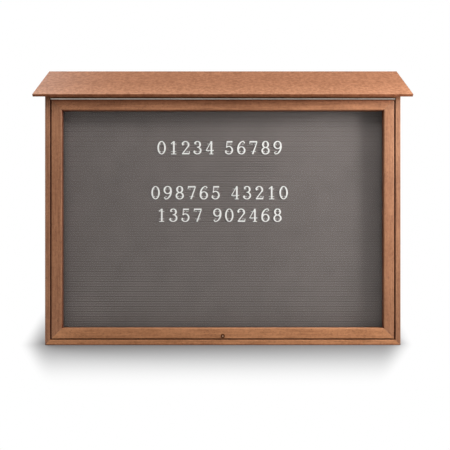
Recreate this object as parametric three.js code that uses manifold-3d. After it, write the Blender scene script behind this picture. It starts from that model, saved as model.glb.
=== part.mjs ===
// A lockable notice board: a weatherproof case of plastic lumber with a sloping roof,
// one top-hinged glazed door with a cam lock, and a grooved letter board inside.
// Millimetres. X runs to the right, Y from front to back and Z up. The origin is the
// centre of the case's flat underside.
import * as THREE from 'three';
import { mergeVertices } from 'three/addons/utils/BufferGeometryUtils.js';
import Module from 'manifold-3d';

const wasm = await Module();
wasm.setup();

// Case: four mitred and butted boards round a back panel
const caseWidth = 1320.8;
const caseDepth = 139.7;
const insideHeight = 899.1;
const boardThickness = 19.05;
const boardArris = 2.5;
const backPanelThickness = 12.7;

// Clearances: between fastened pieces, across a mitre, and beside turning or sliding ones
const seatGap = 0.3;
const mitreGap = 0.3;
const runningGap = 0.4;

// Roof: one square-edged sheet on the slanted tops of the sides
const roofPitch = 38.4;
const roofThickness = 9.5;
const eaveOverhang = 35.5;
const roofSideOverhang = 33.5;
const roofArris = 1.5;
const ridgeRailDepth = 38.1;
const ridgeRailHeight = 38.1;

// Door: mitred members with a rabbet for the pane
const doorGap = 4.7;
const doorThickness = 25.4;
const memberWidth = 38.1;
const memberArris = 2.5;
const memberChamfer = 2.5;
const rabbetWidth = 10;
const lipThickness = 16;
const paneThickness = 3;
const paneClearance = 1;
const glazingSetback = 0.5;
const glazingChamfer = 2;

// Continuous hinge along the door's top edge
const barrelRadius = 3.5;
const leafThickness = 1.2;
const leafInset = 3.4;
const hingePinRadius = 1.3;
const pinClearance = 0.1;
const knuckleLength = 27.3;
const hingeEndGap = 1.5;

// Cam lock in the bottom rail, and the keeper that its cam turns behind
const lockHeight = 9.5;
const lockFlangeReach = 1.6;
const lockFlangeThickness = 1.5;
const lockFlangeChamfer = 0.6;
const lockBodyRadius = 6;
const lockNutWall = 1;
const lockNutThickness = 4;
const lockBodyOverrun = 3;
const plugRadius = 4;
const plugProud = 0.6;
const keywayWidth = 1.1;
const keywayHeight = 5;
const keywayDepth = 2.4;
const camThickness = 2;
const camHalfWidth = 4.4;
const camTipGap = 0.9;
const camScrewRadius = 1.8;
const camScrewHeadRadius = 3.4;
const camScrewHeadThickness = 1.8;
const camScrewGrip = 5;
const keeperThickness = 2;
const keeperWidth = 34;
const keeperDepth = 15;
const keeperTopGap = 1.7;
const keeperClearance = 0.6;

// Stops that the closed door meets, with their foam seals
const stopWidth = 9.5;
const stopDepth = 12;
const stopArris = 1;
const sealSpace = 2.6;
const sealWidth = 6;
const lockBayWidth = 60;

// Letter board on its battens
const characterSpace = 10.2;
const letterBoardThickness = 12.7;
const groovePitch = 9.525;
const grooveWidth = 2;
const grooveFloorWidth = 1.4;
const grooveDepth = 3.2;
const battenWidth = 38.1;

// Gas struts in the channels beside the letter board
const doorPivotStandoff = 16.6;
const doorPivotDrop = 400;
const casePivotSetback = 5;
const casePivotDrop = 80;
const strutStopGap = 2.6;
const strutBoardGap = 1.35;
const strutTubeRadius = 9;
const strutRodRadius = 4;
const strutRodShown = 16;
const strutShoulder = 8;
const eyeRadius = 8;
const eyeWidth = 10;
const eyeNeckRadius = 4.6;
const strutEndSpace = 24;
const studRadius = 4;
const studHeadRadius = 6;
const studHeadThickness = 1.5;
const bracketThickness = 3;
const bracketHalfHeight = 16;
const bracketDiscRadius = 13;
const bracketFootGap = 2;

// How finely round surfaces are cut into flats
const arrisSteps = 3;
const knuckleSteps = 10;
const boreSteps = 8;
const roundSteps = 20;
const strutSteps = 12;
const camSteps = 6;
const nutSides = 6;
const cutOverrun = 5;
const mergeTolerance = 0.0001;

// Places that follow from the sizes above
const frontY = -caseDepth / 2;
const backY = caseDepth / 2;
const insideHalfWidth = caseWidth / 2 - boardThickness;
const panelFrontY = backY - backPanelThickness;
const ceilingZ = boardThickness + insideHeight;
const topBoardTopZ = ceilingZ + boardThickness;
const pitchAngle = THREE.MathUtils.degToRad(roofPitch);
const hingeZ = ceilingZ - seatGap - barrelRadius;
const doorWidth = caseWidth - 2 * (boardThickness + doorGap);
const doorTopZ = hingeZ - barrelRadius - seatGap;
const doorBottomZ = boardThickness + doorGap;
const doorHeight = doorTopZ - doorBottomZ;
const doorCentreZ = (doorTopZ + doorBottomZ) / 2;
const doorBackY = frontY + doorThickness;
const lockZ = doorBottomZ + lockHeight;
const stopFrontY = doorBackY + sealSpace;
const stopBackY = stopFrontY + stopDepth;
const letterBoardFrontY = stopBackY + characterSpace;
const letterBoardBackY = letterBoardFrontY + letterBoardThickness;

// Struts: how far in from the side boards they stand, and the channel that they leave
const strutInset = seatGap + stopWidth + strutStopGap + strutTubeRadius;
const letterBoardHalfWidth = insideHalfWidth - strutInset - strutTubeRadius - strutBoardGap;
const doorPivotY = doorBackY + doorPivotStandoff;
const casePivotY = stopBackY + bracketDiscRadius + casePivotSetback;

// Height of the roof sheet's underside above a place between front and back
function roofUndersideZ(y) {
  return topBoardTopZ + seatGap + (y - frontY) * Math.tan(pitchAngle);
}

// Materials
function lumber(shade) {
  return new THREE.MeshStandardMaterial({ color: shade, roughness: 0.62, metalness: 0, flatShading: true });
}

function metal(shade, roughness) {
  return new THREE.MeshStandardMaterial({ color: shade, roughness, metalness: 1, flatShading: true });
}

function clearSheet() {
  return new THREE.MeshStandardMaterial({
    color: 0xf4f7f6, roughness: 0.04, metalness: 0, transparent: true, opacity: 0.2, flatShading: true,
  });
}

function softSurface(shade) {
  return new THREE.MeshStandardMaterial({ color: shade, roughness: 0.95, metalness: 0, flatShading: true });
}

const cedar = 0xb47f5c;
const cedarLight = 0xc58c66;
const steel = 0xb9b7b2;
const darkSteel = 0x4b4a49;
const brass = 0xb79b5e;
const feltGrey = 0x6f6763;
const foamBlack = 0x2b2a29;

// Solids: a closed mesh becomes a manifold solid for cutting and joining, and comes back
function solidOf(geometry) {
  const bare = geometry.clone();
  bare.deleteAttribute('normal');
  bare.deleteAttribute('uv');
  const merged = mergeVertices(bare, mergeTolerance);
  const corners = merged.index.array;
  const kept = [];
  for (let i = 0; i < corners.length; i += 3) {
    const [a, b, c] = [corners[i], corners[i + 1], corners[i + 2]];
    if (a !== b && b !== c && c !== a) kept.push(a, b, c);
  }
  return new wasm.Manifold(new wasm.Mesh({
    numProp: 3,
    vertProperties: new Float32Array(merged.attributes.position.array),
    triVerts: new Uint32Array(kept),
  }));
}

function geometryOf(solid) {
  const mesh = solid.getMesh();
  const geometry = new THREE.BufferGeometry();
  geometry.setAttribute('position', new THREE.BufferAttribute(mesh.vertProperties, mesh.numProp));
  geometry.setIndex(new THREE.BufferAttribute(mesh.triVerts, 1));
  return geometry;
}

// Cuts the tools away from a body, or joins the pieces into one
function cut(body, ...tools) {
  return geometryOf(tools.reduce((left, tool) => left.subtract(solidOf(tool)), solidOf(body)));
}

function join(...pieces) {
  return geometryOf(pieces.map(solidOf).reduce((whole, piece) => whole.add(piece)));
}

// A closed outline through corners given as [across, up, rounding radius]
function outline(corners) {
  const shape = new THREE.Shape();
  corners.forEach(([across, up, radius = 0], index) => {
    const corner = new THREE.Vector2(across, up);
    const before = corners[(index + corners.length - 1) % corners.length];
    const after = corners[(index + 1) % corners.length];
    const back = new THREE.Vector2(before[0], before[1]).sub(corner).setLength(radius).add(corner);
    const on = new THREE.Vector2(after[0], after[1]).sub(corner).setLength(radius).add(corner);
    if (index === 0) shape.moveTo(back.x, back.y);
    else shape.lineTo(back.x, back.y);
    if (radius > 0) shape.quadraticCurveTo(corner.x, corner.y, on.x, on.y);
  });
  shape.closePath();
  return shape;
}

function rectangle(acrossLow, acrossHigh, upLow, upHigh, radius) {
  return outline([
    [acrossLow, upLow, radius],
    [acrossHigh, upLow, radius],
    [acrossHigh, upHigh, radius],
    [acrossLow, upHigh, radius],
  ]);
}

function extruded(shape, length, steps) {
  return new THREE.ExtrudeGeometry(shape, { depth: length, bevelEnabled: false, curveSegments: steps });
}

// An outline drawn in Y and Z and pushed along X, or drawn in X and Z and pushed along Y
const xAxis = new THREE.Vector3(1, 0, 0);
const yAxis = new THREE.Vector3(0, 1, 0);
const zAxis = new THREE.Vector3(0, 0, 1);

function alongX(shape, start, end, steps = arrisSteps) {
  const geometry = extruded(shape, end - start, steps);
  geometry.applyMatrix4(new THREE.Matrix4().makeBasis(yAxis, zAxis, xAxis));
  return geometry.translate(start, 0, 0);
}

function alongY(shape, start, end, steps = arrisSteps) {
  const geometry = extruded(shape, end - start, steps);
  geometry.applyMatrix4(new THREE.Matrix4().makeBasis(xAxis, zAxis, yAxis.clone().negate()));
  return geometry.translate(0, end, 0);
}

function alongZ(shape, start, end) {
  return extruded(shape, end - start, arrisSteps).translate(0, 0, start);
}

function block(lowX, highX, lowY, highY, lowZ, highZ) {
  const geometry = new THREE.BoxGeometry(highX - lowX, highY - lowY, highZ - lowZ);
  return geometry.translate((lowX + highX) / 2, (lowY + highY) / 2, (lowZ + highZ) / 2);
}

// A turned piece about the Y axis, from a profile of [radius, place along Y]
function turned(profile, steps = roundSteps) {
  return new THREE.LatheGeometry(profile.map(([radius, y]) => new THREE.Vector2(radius, y)), steps);
}

function rod(radius, start, end, steps = roundSteps) {
  return turned([[0, start], [radius, start], [radius, end], [0, end]], steps);
}

// The same turned about X or Z
function turnedAlongX(profile, steps) {
  return turned(profile, steps).rotateZ(-Math.PI / 2);
}

function turnedAlongZ(profile, steps) {
  return turned(profile, steps).rotateX(Math.PI / 2);
}

// A bar along X whose outline starts at its outer face: each mitred end runs in at 45 degrees
function mitredBar(shape, length, lowEndMitred = true, highEndMitred = true) {
  const geometry = alongX(shape, -length / 2, length / 2);
  const position = geometry.attributes.position;
  for (let i = 0; i < position.count; i += 1) {
    const x = position.getX(i);
    const mitred = x > 0 ? highEndMitred : lowEndMitred;
    const inset = mitred ? position.getZ(i) + mitreGap / Math.SQRT2 : 0;
    position.setX(i, x - Math.sign(x) * inset);
  }
  return geometry;
}

// The object, and the group of pieces that lift with the door
const noticeBoard = new THREE.Group();
const door = new THREE.Group();
noticeBoard.add(door);

function addPart(parent, name, geometry, material) {
  const mesh = new THREE.Mesh(geometry, material);
  mesh.name = name;
  parent.add(mesh);
  return mesh;
}

// Four mitred bars round an upright rectangle: outer faces at the given width and height
function addRing(parent, names, width, height, frontPlaneY, makeBar, shade) {
  const ring = new THREE.Group();
  ring.position.set(0, frontPlaneY, doorCentreZ);
  parent.add(ring);
  const sides = [
    { name: names.bottom, length: width, turn: 0, reach: height / 2 },
    { name: names.left, length: height, turn: Math.PI / 2, reach: width / 2 },
    { name: names.top, length: width, turn: Math.PI, reach: height / 2 },
    { name: names.right, length: height, turn: -Math.PI / 2, reach: width / 2 },
  ];
  sides.forEach(({ name, length, turn, reach }) => {
    const bar = addPart(ring, name, makeBar(length, name), lumber(shade));
    bar.rotation.y = turn;
    bar.position.set(-reach * Math.sin(turn), 0, -reach * Math.cos(turn));
  });
}

// Case boards
function boardOutline(depth) {
  return rectangle(0, depth, 0, boardThickness, boardArris);
}

function roofSpace() {
  const low = frontY - cutOverrun;
  const high = backY + cutOverrun;
  const clear = seatGap / Math.cos(pitchAngle);
  const above = roofUndersideZ(high) + roofThickness;
  return alongX(outline([
    [low, roofUndersideZ(low) - clear],
    [high, roofUndersideZ(high) - clear],
    [high, above],
    [low, above],
  ]), -caseWidth, caseWidth);
}

function sideBoard(side) {
  const height = roofUndersideZ(backY);
  const bar = mitredBar(boardOutline(caseDepth), height, side > 0, side < 0);
  bar.rotateY(-side * Math.PI / 2);
  bar.translate(side * caseWidth / 2, frontY, height / 2);
  return cut(bar, roofSpace());
}

function addCase(parent) {
  addPart(parent, 'left_side_board', sideBoard(-1), lumber(cedar));
  addPart(parent, 'right_side_board', sideBoard(1), lumber(cedar));

  const bottomBar = mitredBar(boardOutline(caseDepth), caseWidth);
  const bottom = addPart(parent, 'bottom_board', bottomBar, lumber(cedar));
  bottom.position.y = frontY;

  const halfWidth = insideHalfWidth - seatGap;
  const topDepth = caseDepth - backPanelThickness - seatGap;
  const topBar = alongX(boardOutline(topDepth), -halfWidth, halfWidth);
  const top = addPart(parent, 'top_board', topBar, lumber(cedar));
  top.position.set(0, frontY, ceilingZ);

  const panelLowZ = boardThickness + seatGap;
  const panelBox = block(-halfWidth, halfWidth, panelFrontY, backY, panelLowZ, roofUndersideZ(backY));
  addPart(parent, 'back_panel', cut(panelBox, roofSpace()), lumber(cedar));
}

// Roof sheet, and the bevelled rail that carries it along the ridge
function addRoof(parent) {
  const eaveY = frontY - eaveOverhang + roofThickness * Math.sin(pitchAngle);
  const eaveZ = roofUndersideZ(eaveY);
  const ridgeZ = roofUndersideZ(backY);
  const sheet = outline([
    [eaveY, eaveZ, roofArris],
    [backY, ridgeZ],
    [backY, ridgeZ + roofThickness / Math.cos(pitchAngle), roofArris],
    [frontY - eaveOverhang, eaveZ + roofThickness * Math.cos(pitchAngle), roofArris],
  ]);
  const halfWidth = caseWidth / 2 + roofSideOverhang;
  addPart(parent, 'roof_board', alongX(sheet, -halfWidth, halfWidth), lumber(cedarLight));

  const railBack = panelFrontY - seatGap;
  const railFront = railBack - ridgeRailDepth;
  const clear = seatGap / Math.cos(pitchAngle);
  const railTop = roofUndersideZ(railFront) - clear;
  const rail = outline([
    [railFront, railTop - ridgeRailHeight],
    [railBack, railTop - ridgeRailHeight],
    [railBack, roofUndersideZ(railBack) - clear],
    [railFront, railTop],
  ]);
  const railHalf = insideHalfWidth - seatGap;
  addPart(parent, 'ridge_rail', alongX(rail, -railHalf, railHalf), lumber(cedar));
}

// Stops that the door closes on, and the seals between stop and door
function addStops(parent) {
  const sideHalf = insideHalfWidth - seatGap;
  const floorZ = boardThickness + seatGap;
  const topStopZ = ceilingZ - seatGap - stopWidth;
  const sealFrontY = doorBackY + seatGap;
  const sealBackY = stopFrontY - seatGap;

  const topStop = rectangle(stopFrontY, stopBackY, topStopZ, topStopZ + stopWidth, stopArris);
  addPart(parent, 'top_door_stop', alongX(topStop, -sideHalf, sideHalf), lumber(cedar));
  const topSealZ = Math.min(topStopZ + sealWidth, doorTopZ);
  const topSeal = block(-sideHalf, sideHalf, sealFrontY, sealBackY, topStopZ, topSealZ);
  addPart(parent, 'top_seal', topSeal, softSurface(foamBlack));

  [['left', -1], ['right', 1]].forEach(([label, side]) => {
    const outer = side * sideHalf;
    const inner = side * (sideHalf - stopWidth);
    const [lowX, highX] = [Math.min(outer, inner), Math.max(outer, inner)];
    const strip = rectangle(lowX, highX, stopFrontY, stopBackY, stopArris);
    addPart(parent, `${label}_door_stop`, alongZ(strip, floorZ, topStopZ - seatGap), lumber(cedar));
    const sealOuter = inner + side * sealWidth;
    const [sealLow, sealHigh] = [Math.min(inner, sealOuter), Math.max(inner, sealOuter)];
    const seal = block(sealLow, sealHigh, sealFrontY, sealBackY, floorZ, topStopZ - seatGap);
    addPart(parent, `${label}_seal`, seal, softSurface(foamBlack));

    const far = side * (sideHalf - stopWidth - seatGap);
    const near = side * lockBayWidth / 2;
    const [runLow, runHigh] = [Math.min(far, near), Math.max(far, near)];
    const run = rectangle(stopFrontY, stopBackY, floorZ, floorZ + stopWidth, stopArris);
    addPart(parent, `bottom_door_stop_${label}`, alongX(run, runLow, runHigh), lumber(cedar));
    const lowSealTop = floorZ + stopWidth;
    const lowSeal = block(runLow, runHigh, sealFrontY, sealBackY, lowSealTop - sealWidth, lowSealTop);
    addPart(parent, `bottom_seal_${label}`, lowSeal, softSurface(foamBlack));
  });
}

// Letter board: a sheet with narrow level grooves that hold push-in characters
function letterBoardOutline(lowZ, highZ) {
  const count = Math.floor((highZ - lowZ) / groovePitch) - 1;
  const firstZ = (lowZ + highZ) / 2 + (count - 1) * groovePitch / 2;
  const corners = [
    [letterBoardFrontY, lowZ],
    [letterBoardBackY, lowZ],
    [letterBoardBackY, highZ],
    [letterBoardFrontY, highZ],
  ];
  const floorY = letterBoardFrontY + grooveDepth;
  for (let i = 0; i < count; i += 1) {
    const z = firstZ - i * groovePitch;
    corners.push([letterBoardFrontY, z + grooveWidth / 2]);
    corners.push([floorY, z + grooveFloorWidth / 2]);
    corners.push([floorY, z - grooveFloorWidth / 2]);
    corners.push([letterBoardFrontY, z - grooveWidth / 2]);
  }
  return outline(corners);
}

function addLetterBoard(parent) {
  const lowZ = boardThickness + seatGap;
  const highZ = ceilingZ - seatGap;
  const half = letterBoardHalfWidth;
  const sheet = alongX(letterBoardOutline(lowZ, highZ), -half, half);
  addPart(parent, 'letter_board', sheet, softSurface(feltGrey));

  const battenFrontY = letterBoardBackY + seatGap;
  const battenBackY = panelFrontY - seatGap;
  const places = [
    ['left_batten', -half],
    ['centre_batten', -battenWidth / 2],
    ['right_batten', half - battenWidth],
  ];
  places.forEach(([name, lowX]) => {
    const section = rectangle(lowX, lowX + battenWidth, battenFrontY, battenBackY, boardArris);
    addPart(parent, name, alongZ(section, lowZ, highZ), lumber(cedar));
  });
}

// Door: mitred members with an eased outer arris, a chamfered inner arris and a rabbet
function memberOutline() {
  const rabbetStart = memberWidth - rabbetWidth;
  return outline([
    [0, 0, memberArris],
    [doorThickness, 0, memberArris],
    [doorThickness, rabbetStart],
    [lipThickness, rabbetStart],
    [lipThickness, memberWidth],
    [memberChamfer, memberWidth],
    [0, memberWidth - memberChamfer],
  ]);
}

function addDoorFrame(parent) {
  const names = {
    bottom: 'door_bottom_rail', left: 'door_left_stile', top: 'door_top_rail', right: 'door_right_stile',
  };
  const makeMember = (length, name) => {
    const bar = mitredBar(memberOutline(), length);
    if (name !== names.bottom) return bar;
    const bore = rod(lockBodyRadius + seatGap, -cutOverrun, doorThickness + cutOverrun);
    return cut(bar, bore.translate(0, 0, lockHeight));
  };
  addRing(parent, names, doorWidth, doorHeight, frontY, makeMember, cedar);
}

// The pane in its rabbet, and the strips that hold it from behind
function addGlazing(parent) {
  const rabbetInset = memberWidth - rabbetWidth;
  const paneHalf = doorWidth / 2 - rabbetInset - paneClearance;
  const paneHalfHeight = doorHeight / 2 - rabbetInset - paneClearance;
  const paneFront = frontY + lipThickness + seatGap;
  const paneBack = paneFront + paneThickness;
  const pane = block(
    -paneHalf, paneHalf, paneFront, paneBack, doorCentreZ - paneHalfHeight, doorCentreZ + paneHalfHeight,
  );
  addPart(parent, 'window_pane', pane, clearSheet());

  const stripFrontY = paneBack + seatGap;
  const stripDepth = doorBackY - stripFrontY;
  const stripWidth = rabbetWidth - seatGap - glazingSetback;
  const strip = outline([
    [0, 0],
    [stripDepth, 0],
    [stripDepth, stripWidth - glazingChamfer],
    [stripDepth - glazingChamfer, stripWidth],
    [0, stripWidth],
  ]);
  const names = {
    bottom: 'glazing_strip_bottom',
    left: 'glazing_strip_left',
    top: 'glazing_strip_top',
    right: 'glazing_strip_right',
  };
  const inset = 2 * (rabbetInset + seatGap);
  const makeStrip = (length) => mitredBar(strip, length);
  addRing(parent, names, doorWidth - inset, doorHeight - inset, stripFrontY, makeStrip, cedar);
}

// Hinge: two leaves whose rolled knuckles interleave on one pin. The outline of a knuckle is
// the leaf's edge curling once round the pin; face is 1 for the upper leaf and -1 for the lower
function knuckleOutline(face, flatEnd) {
  const inner = barrelRadius - leafThickness;
  const meet = Math.asin(inner / barrelRadius);
  const shape = new THREE.Shape();
  shape.moveTo(flatEnd, face * barrelRadius);
  shape.lineTo(0, face * barrelRadius);
  if (face > 0) shape.absarc(0, 0, barrelRadius, Math.PI / 2, 2 * Math.PI + meet, false);
  else shape.absarc(0, 0, barrelRadius, -Math.PI / 2, -2 * Math.PI - meet, true);
  shape.lineTo(flatEnd, face * inner);
  shape.closePath();
  return shape;
}

function hingeLeaf(face) {
  const length = 2 * (insideHalfWidth - hingeEndGap);
  const pitch = knuckleLength + runningGap;
  const count = Math.floor((length + runningGap) / pitch);
  const firstX = -(count * pitch - runningGap) / 2;
  const flatStart = barrelRadius + runningGap;
  const flatEnd = flatStart + leafThickness;
  const leafWidth = doorThickness - leafInset;
  const outer = face * barrelRadius;
  const inner = face * (barrelRadius - leafThickness);
  let leaf = solidOf(block(
    firstX, -firstX, flatStart, leafWidth, Math.min(inner, outer), Math.max(inner, outer),
  ));
  for (let i = face > 0 ? 0 : 1; i < count; i += 2) {
    const start = firstX + i * pitch;
    const knuckle = alongX(knuckleOutline(face, flatEnd), start, start + knuckleLength, knuckleSteps);
    leaf = leaf.add(solidOf(knuckle));
  }
  const boreRadius = hingePinRadius / Math.cos(Math.PI / boreSteps) + pinClearance;
  const bore = rod(boreRadius, firstX - cutOverrun, -firstX + cutOverrun, boreSteps).rotateZ(-Math.PI / 2);
  return geometryOf(leaf.subtract(solidOf(bore)));
}

function addHinge(parent, doorGroup) {
  const half = insideHalfWidth - hingeEndGap;
  const pin = rod(hingePinRadius, -half, half, boreSteps).rotateZ(-Math.PI / 2);
  const pieces = [
    addPart(parent, 'hinge_case_leaf', hingeLeaf(1), metal(steel, 0.35)),
    addPart(doorGroup, 'hinge_door_leaf', hingeLeaf(-1), metal(steel, 0.35)),
    addPart(parent, 'hinge_pin', pin, metal(steel, 0.3)),
  ];
  pieces.forEach((piece) => piece.position.set(0, frontY, hingeZ));
}

// Lock: a flanged barrel through the bottom rail, its nut, and the plug that turns the cam
const lockBodyEndY = doorBackY + seatGap + lockNutThickness + lockBodyOverrun;
const camFrontY = lockBodyEndY + 2 * runningGap;
const keeperLowZ = boardThickness + seatGap;
const camReach = lockZ - keeperLowZ - keeperThickness - camTipGap;
const camScrewHoleRadius = camScrewRadius + runningGap / 2;

function lockHousing() {
  const flangeBack = frontY - seatGap;
  const flangeFront = flangeBack - lockFlangeThickness;
  const bore = plugRadius + runningGap / 2;
  const lockFlangeRadius = lockBodyRadius + lockFlangeReach;
  return turned([
    [bore, flangeFront],
    [lockFlangeRadius - lockFlangeChamfer, flangeFront],
    [lockFlangeRadius, flangeFront + lockFlangeChamfer],
    [lockFlangeRadius, flangeBack],
    [lockBodyRadius, flangeBack],
    [lockBodyRadius, lockBodyEndY],
    [bore, lockBodyEndY],
    [bore, flangeFront],
  ]);
}

function lockPlug() {
  const face = frontY - seatGap - lockFlangeThickness - plugProud;
  const end = camFrontY - seatGap;
  const body = rod(plugRadius, face, end);
  const keyway = block(
    -keywayWidth / 2, keywayWidth / 2, face - cutOverrun, face + keywayDepth,
    -keywayHeight / 2, keywayHeight / 2,
  );
  const holeStart = end - camScrewGrip - seatGap;
  const screwHole = rod(camScrewHoleRadius, holeStart, end + cutOverrun, strutSteps);
  return cut(body, keyway, screwHole);
}

function lockCam() {
  const tip = camReach - camHalfWidth;
  const shape = new THREE.Shape();
  shape.absarc(0, 0, camHalfWidth, -Math.PI / 2, Math.PI / 2, false);
  shape.absarc(-tip, 0, camHalfWidth, Math.PI / 2, 3 * Math.PI / 2, false);
  shape.closePath();
  const plate = alongY(shape, camFrontY, camFrontY + camThickness, camSteps);
  const hole = rod(camScrewHoleRadius, camFrontY - cutOverrun, camFrontY + cutOverrun, strutSteps);
  return cut(plate, hole);
}

function camScrew() {
  const headFront = camFrontY + camThickness + seatGap;
  const headBack = headFront + camScrewHeadThickness;
  return turned([
    [0, camFrontY - seatGap - camScrewGrip],
    [camScrewRadius, camFrontY - seatGap - camScrewGrip],
    [camScrewRadius, headFront],
    [camScrewHeadRadius, headFront],
    [camScrewHeadRadius, headBack],
    [0, headBack],
  ], strutSteps);
}

function lockNut() {
  const front = doorBackY + seatGap;
  const cornerRadius = (lockBodyRadius + seatGap + lockNutWall) / Math.cos(Math.PI / nutSides);
  const back = front + lockNutThickness;
  const hexagon = rod(cornerRadius, front, back, nutSides).rotateY(Math.PI / nutSides);
  return cut(hexagon, rod(lockBodyRadius + seatGap, front - cutOverrun, back + cutOverrun));
}

// Angle plate on the case floor: its upright leg stands between the lock and the turned cam
function keeperPlate() {
  const legFront = doorBackY + seatGap + lockNutThickness + keeperClearance;
  const legTopZ = lockZ - lockBodyRadius - keeperTopGap;
  const footTopZ = keeperLowZ + keeperThickness;
  const angle = outline([
    [legFront, keeperLowZ],
    [legFront + keeperDepth, keeperLowZ],
    [legFront + keeperDepth, footTopZ],
    [legFront + keeperThickness, footTopZ],
    [legFront + keeperThickness, legTopZ],
    [legFront, legTopZ],
  ]);
  return alongX(angle, -keeperWidth / 2, keeperWidth / 2);
}

function addLock(parent, doorGroup) {
  const pieces = [
    addPart(doorGroup, 'lock_housing', lockHousing(), metal(darkSteel, 0.35)),
    addPart(doorGroup, 'lock_nut', lockNut(), metal(brass, 0.35)),
    addPart(doorGroup, 'lock_plug', lockPlug(), metal(steel, 0.25)),
    addPart(doorGroup, 'lock_cam', lockCam(), metal(steel, 0.4)),
    addPart(doorGroup, 'cam_screw', camScrew(), metal(steel, 0.35)),
  ];
  pieces.forEach((piece) => piece.position.setZ(lockZ));
  addPart(parent, 'keeper_plate', keeperPlate(), metal(steel, 0.4));
}

// Gas struts: drawn upright over the door pivot, then leaned to the case pivot
const strutRise = doorPivotDrop - casePivotDrop;
const strutLean = Math.atan2(casePivotY - doorPivotY, strutRise);
const strutLength = Math.hypot(casePivotY - doorPivotY, strutRise);

function eye(z) {
  const ring = rod(eyeRadius, -eyeWidth / 2, eyeWidth / 2, strutSteps).rotateZ(-Math.PI / 2);
  return ring.translate(0, 0, z);
}

function eyeHole(z) {
  const clear = studRadius + runningGap;
  return rod(clear, -eyeWidth, eyeWidth, strutSteps).rotateZ(-Math.PI / 2).translate(0, 0, z);
}

function strutRod() {
  const shaft = turnedAlongZ([
    [0, eyeRadius / 2],
    [eyeNeckRadius, eyeRadius / 2],
    [eyeNeckRadius, strutEndSpace - strutRodShown / 2],
    [strutRodRadius, strutEndSpace],
    [strutRodRadius, strutLength - strutEndSpace - strutShoulder],
    [0, strutLength - strutEndSpace - strutShoulder],
  ], strutSteps);
  return cut(join(shaft, eye(0)), eyeHole(0));
}

function strutTube() {
  const start = strutEndSpace + strutRodShown;
  const end = strutLength - strutEndSpace / 2;
  const bore = strutRodRadius + runningGap;
  const boreEnd = strutLength - strutEndSpace - strutShoulder + runningGap;
  const neckEnd = strutLength - eyeRadius / 2;
  const tube = turnedAlongZ([
    [0, boreEnd],
    [bore, boreEnd],
    [bore, start],
    [strutTubeRadius - runningGap, start],
    [strutTubeRadius, start + runningGap],
    [strutTubeRadius, end - strutShoulder],
    [eyeNeckRadius, end],
    [eyeNeckRadius, neckEnd],
    [0, neckEnd],
  ], strutSteps);
  return cut(join(tube, eye(strutLength)), eyeHole(strutLength));
}

// Door bracket: a foot on the stile's back, an ear, and the headed stud that holds the rod's eye
function doorBracket(side) {
  const centre = side * (insideHalfWidth - strutInset);
  const earFace = centre - side * (eyeWidth / 2 + runningGap);
  const earBack = earFace - side * bracketThickness;
  const footFar = side * (insideHalfWidth - seatGap - stopWidth - bracketFootGap);
  const headFace = centre + side * (eyeWidth / 2 + runningGap);
  const footY = doorBackY + seatGap;
  const pivotZ = hingeZ - doorPivotDrop;
  const foot = block(
    Math.min(earBack, footFar), Math.max(earBack, footFar), footY, footY + bracketThickness,
    pivotZ - bracketHalfHeight, pivotZ + bracketHalfHeight,
  );
  const earShape = new THREE.Shape();
  earShape.moveTo(footY, pivotZ - bracketHalfHeight);
  earShape.lineTo(footY + bracketThickness, pivotZ - bracketHalfHeight);
  earShape.absarc(doorPivotY, pivotZ, eyeRadius, -Math.PI / 2, Math.PI / 2, false);
  earShape.lineTo(footY + bracketThickness, pivotZ + bracketHalfHeight);
  earShape.lineTo(footY, pivotZ + bracketHalfHeight);
  earShape.closePath();
  const ear = alongX(earShape, Math.min(earFace, earBack), Math.max(earFace, earBack));
  const headEnd = headFace + side * studHeadThickness;
  const stud = turnedAlongX([
    [0, Math.min(earBack, headEnd) + bracketThickness / 2],
    [studRadius, Math.min(earBack, headEnd) + bracketThickness / 2],
    [studRadius, Math.max(earBack, headEnd) - bracketThickness / 2],
    [0, Math.max(earBack, headEnd) - bracketThickness / 2],
  ], strutSteps);
  const head = turnedAlongX([
    [0, Math.min(headFace, headEnd)],
    [studHeadRadius, Math.min(headFace, headEnd)],
    [studHeadRadius, Math.max(headFace, headEnd)],
    [0, Math.max(headFace, headEnd)],
  ], strutSteps);
  [stud, head].forEach((piece) => piece.translate(0, doorPivotY, pivotZ));
  return join(foot, ear, stud, head);
}

// Case bracket: a disc on the side board with a stud that meets the tube's eye
function caseBracket(side) {
  const studEnd = insideHalfWidth - strutInset + eyeWidth / 2 + runningGap;
  const discBack = insideHalfWidth - seatGap;
  const discFace = discBack - bracketThickness;
  const profile = [
    [0, studEnd],
    [studRadius, studEnd],
    [studRadius, discFace],
    [bracketDiscRadius, discFace],
    [bracketDiscRadius, discBack],
    [0, discBack],
  ];
  const bracket = turnedAlongX(profile, strutSteps);
  if (side < 0) bracket.rotateZ(Math.PI);
  return bracket.translate(0, casePivotY, hingeZ - casePivotDrop);
}

function addStruts(parent, doorGroup) {
  [['left', -1], ['right', 1]].forEach(([label, side]) => {
    const strut = new THREE.Group();
    const place = side * (insideHalfWidth - strutInset);
    strut.position.set(place, doorPivotY, hingeZ - doorPivotDrop);
    strut.rotation.x = -strutLean;
    doorGroup.add(strut);
    addPart(strut, `${label}_strut_rod`, strutRod(), metal(steel, 0.15));
    addPart(strut, `${label}_strut_tube`, strutTube(), metal(darkSteel, 0.5));
    addPart(doorGroup, `${label}_door_bracket`, doorBracket(side), metal(steel, 0.4));
    addPart(parent, `${label}_case_bracket`, caseBracket(side), metal(steel, 0.4));
  });
}

addCase(noticeBoard);
addRoof(noticeBoard);
addStops(noticeBoard);
addLetterBoard(noticeBoard);
addDoorFrame(door);
addGlazing(door);
addHinge(noticeBoard, door);
addLock(noticeBoard, door);
addStruts(noticeBoard, door);

export default noticeBoard;
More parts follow.
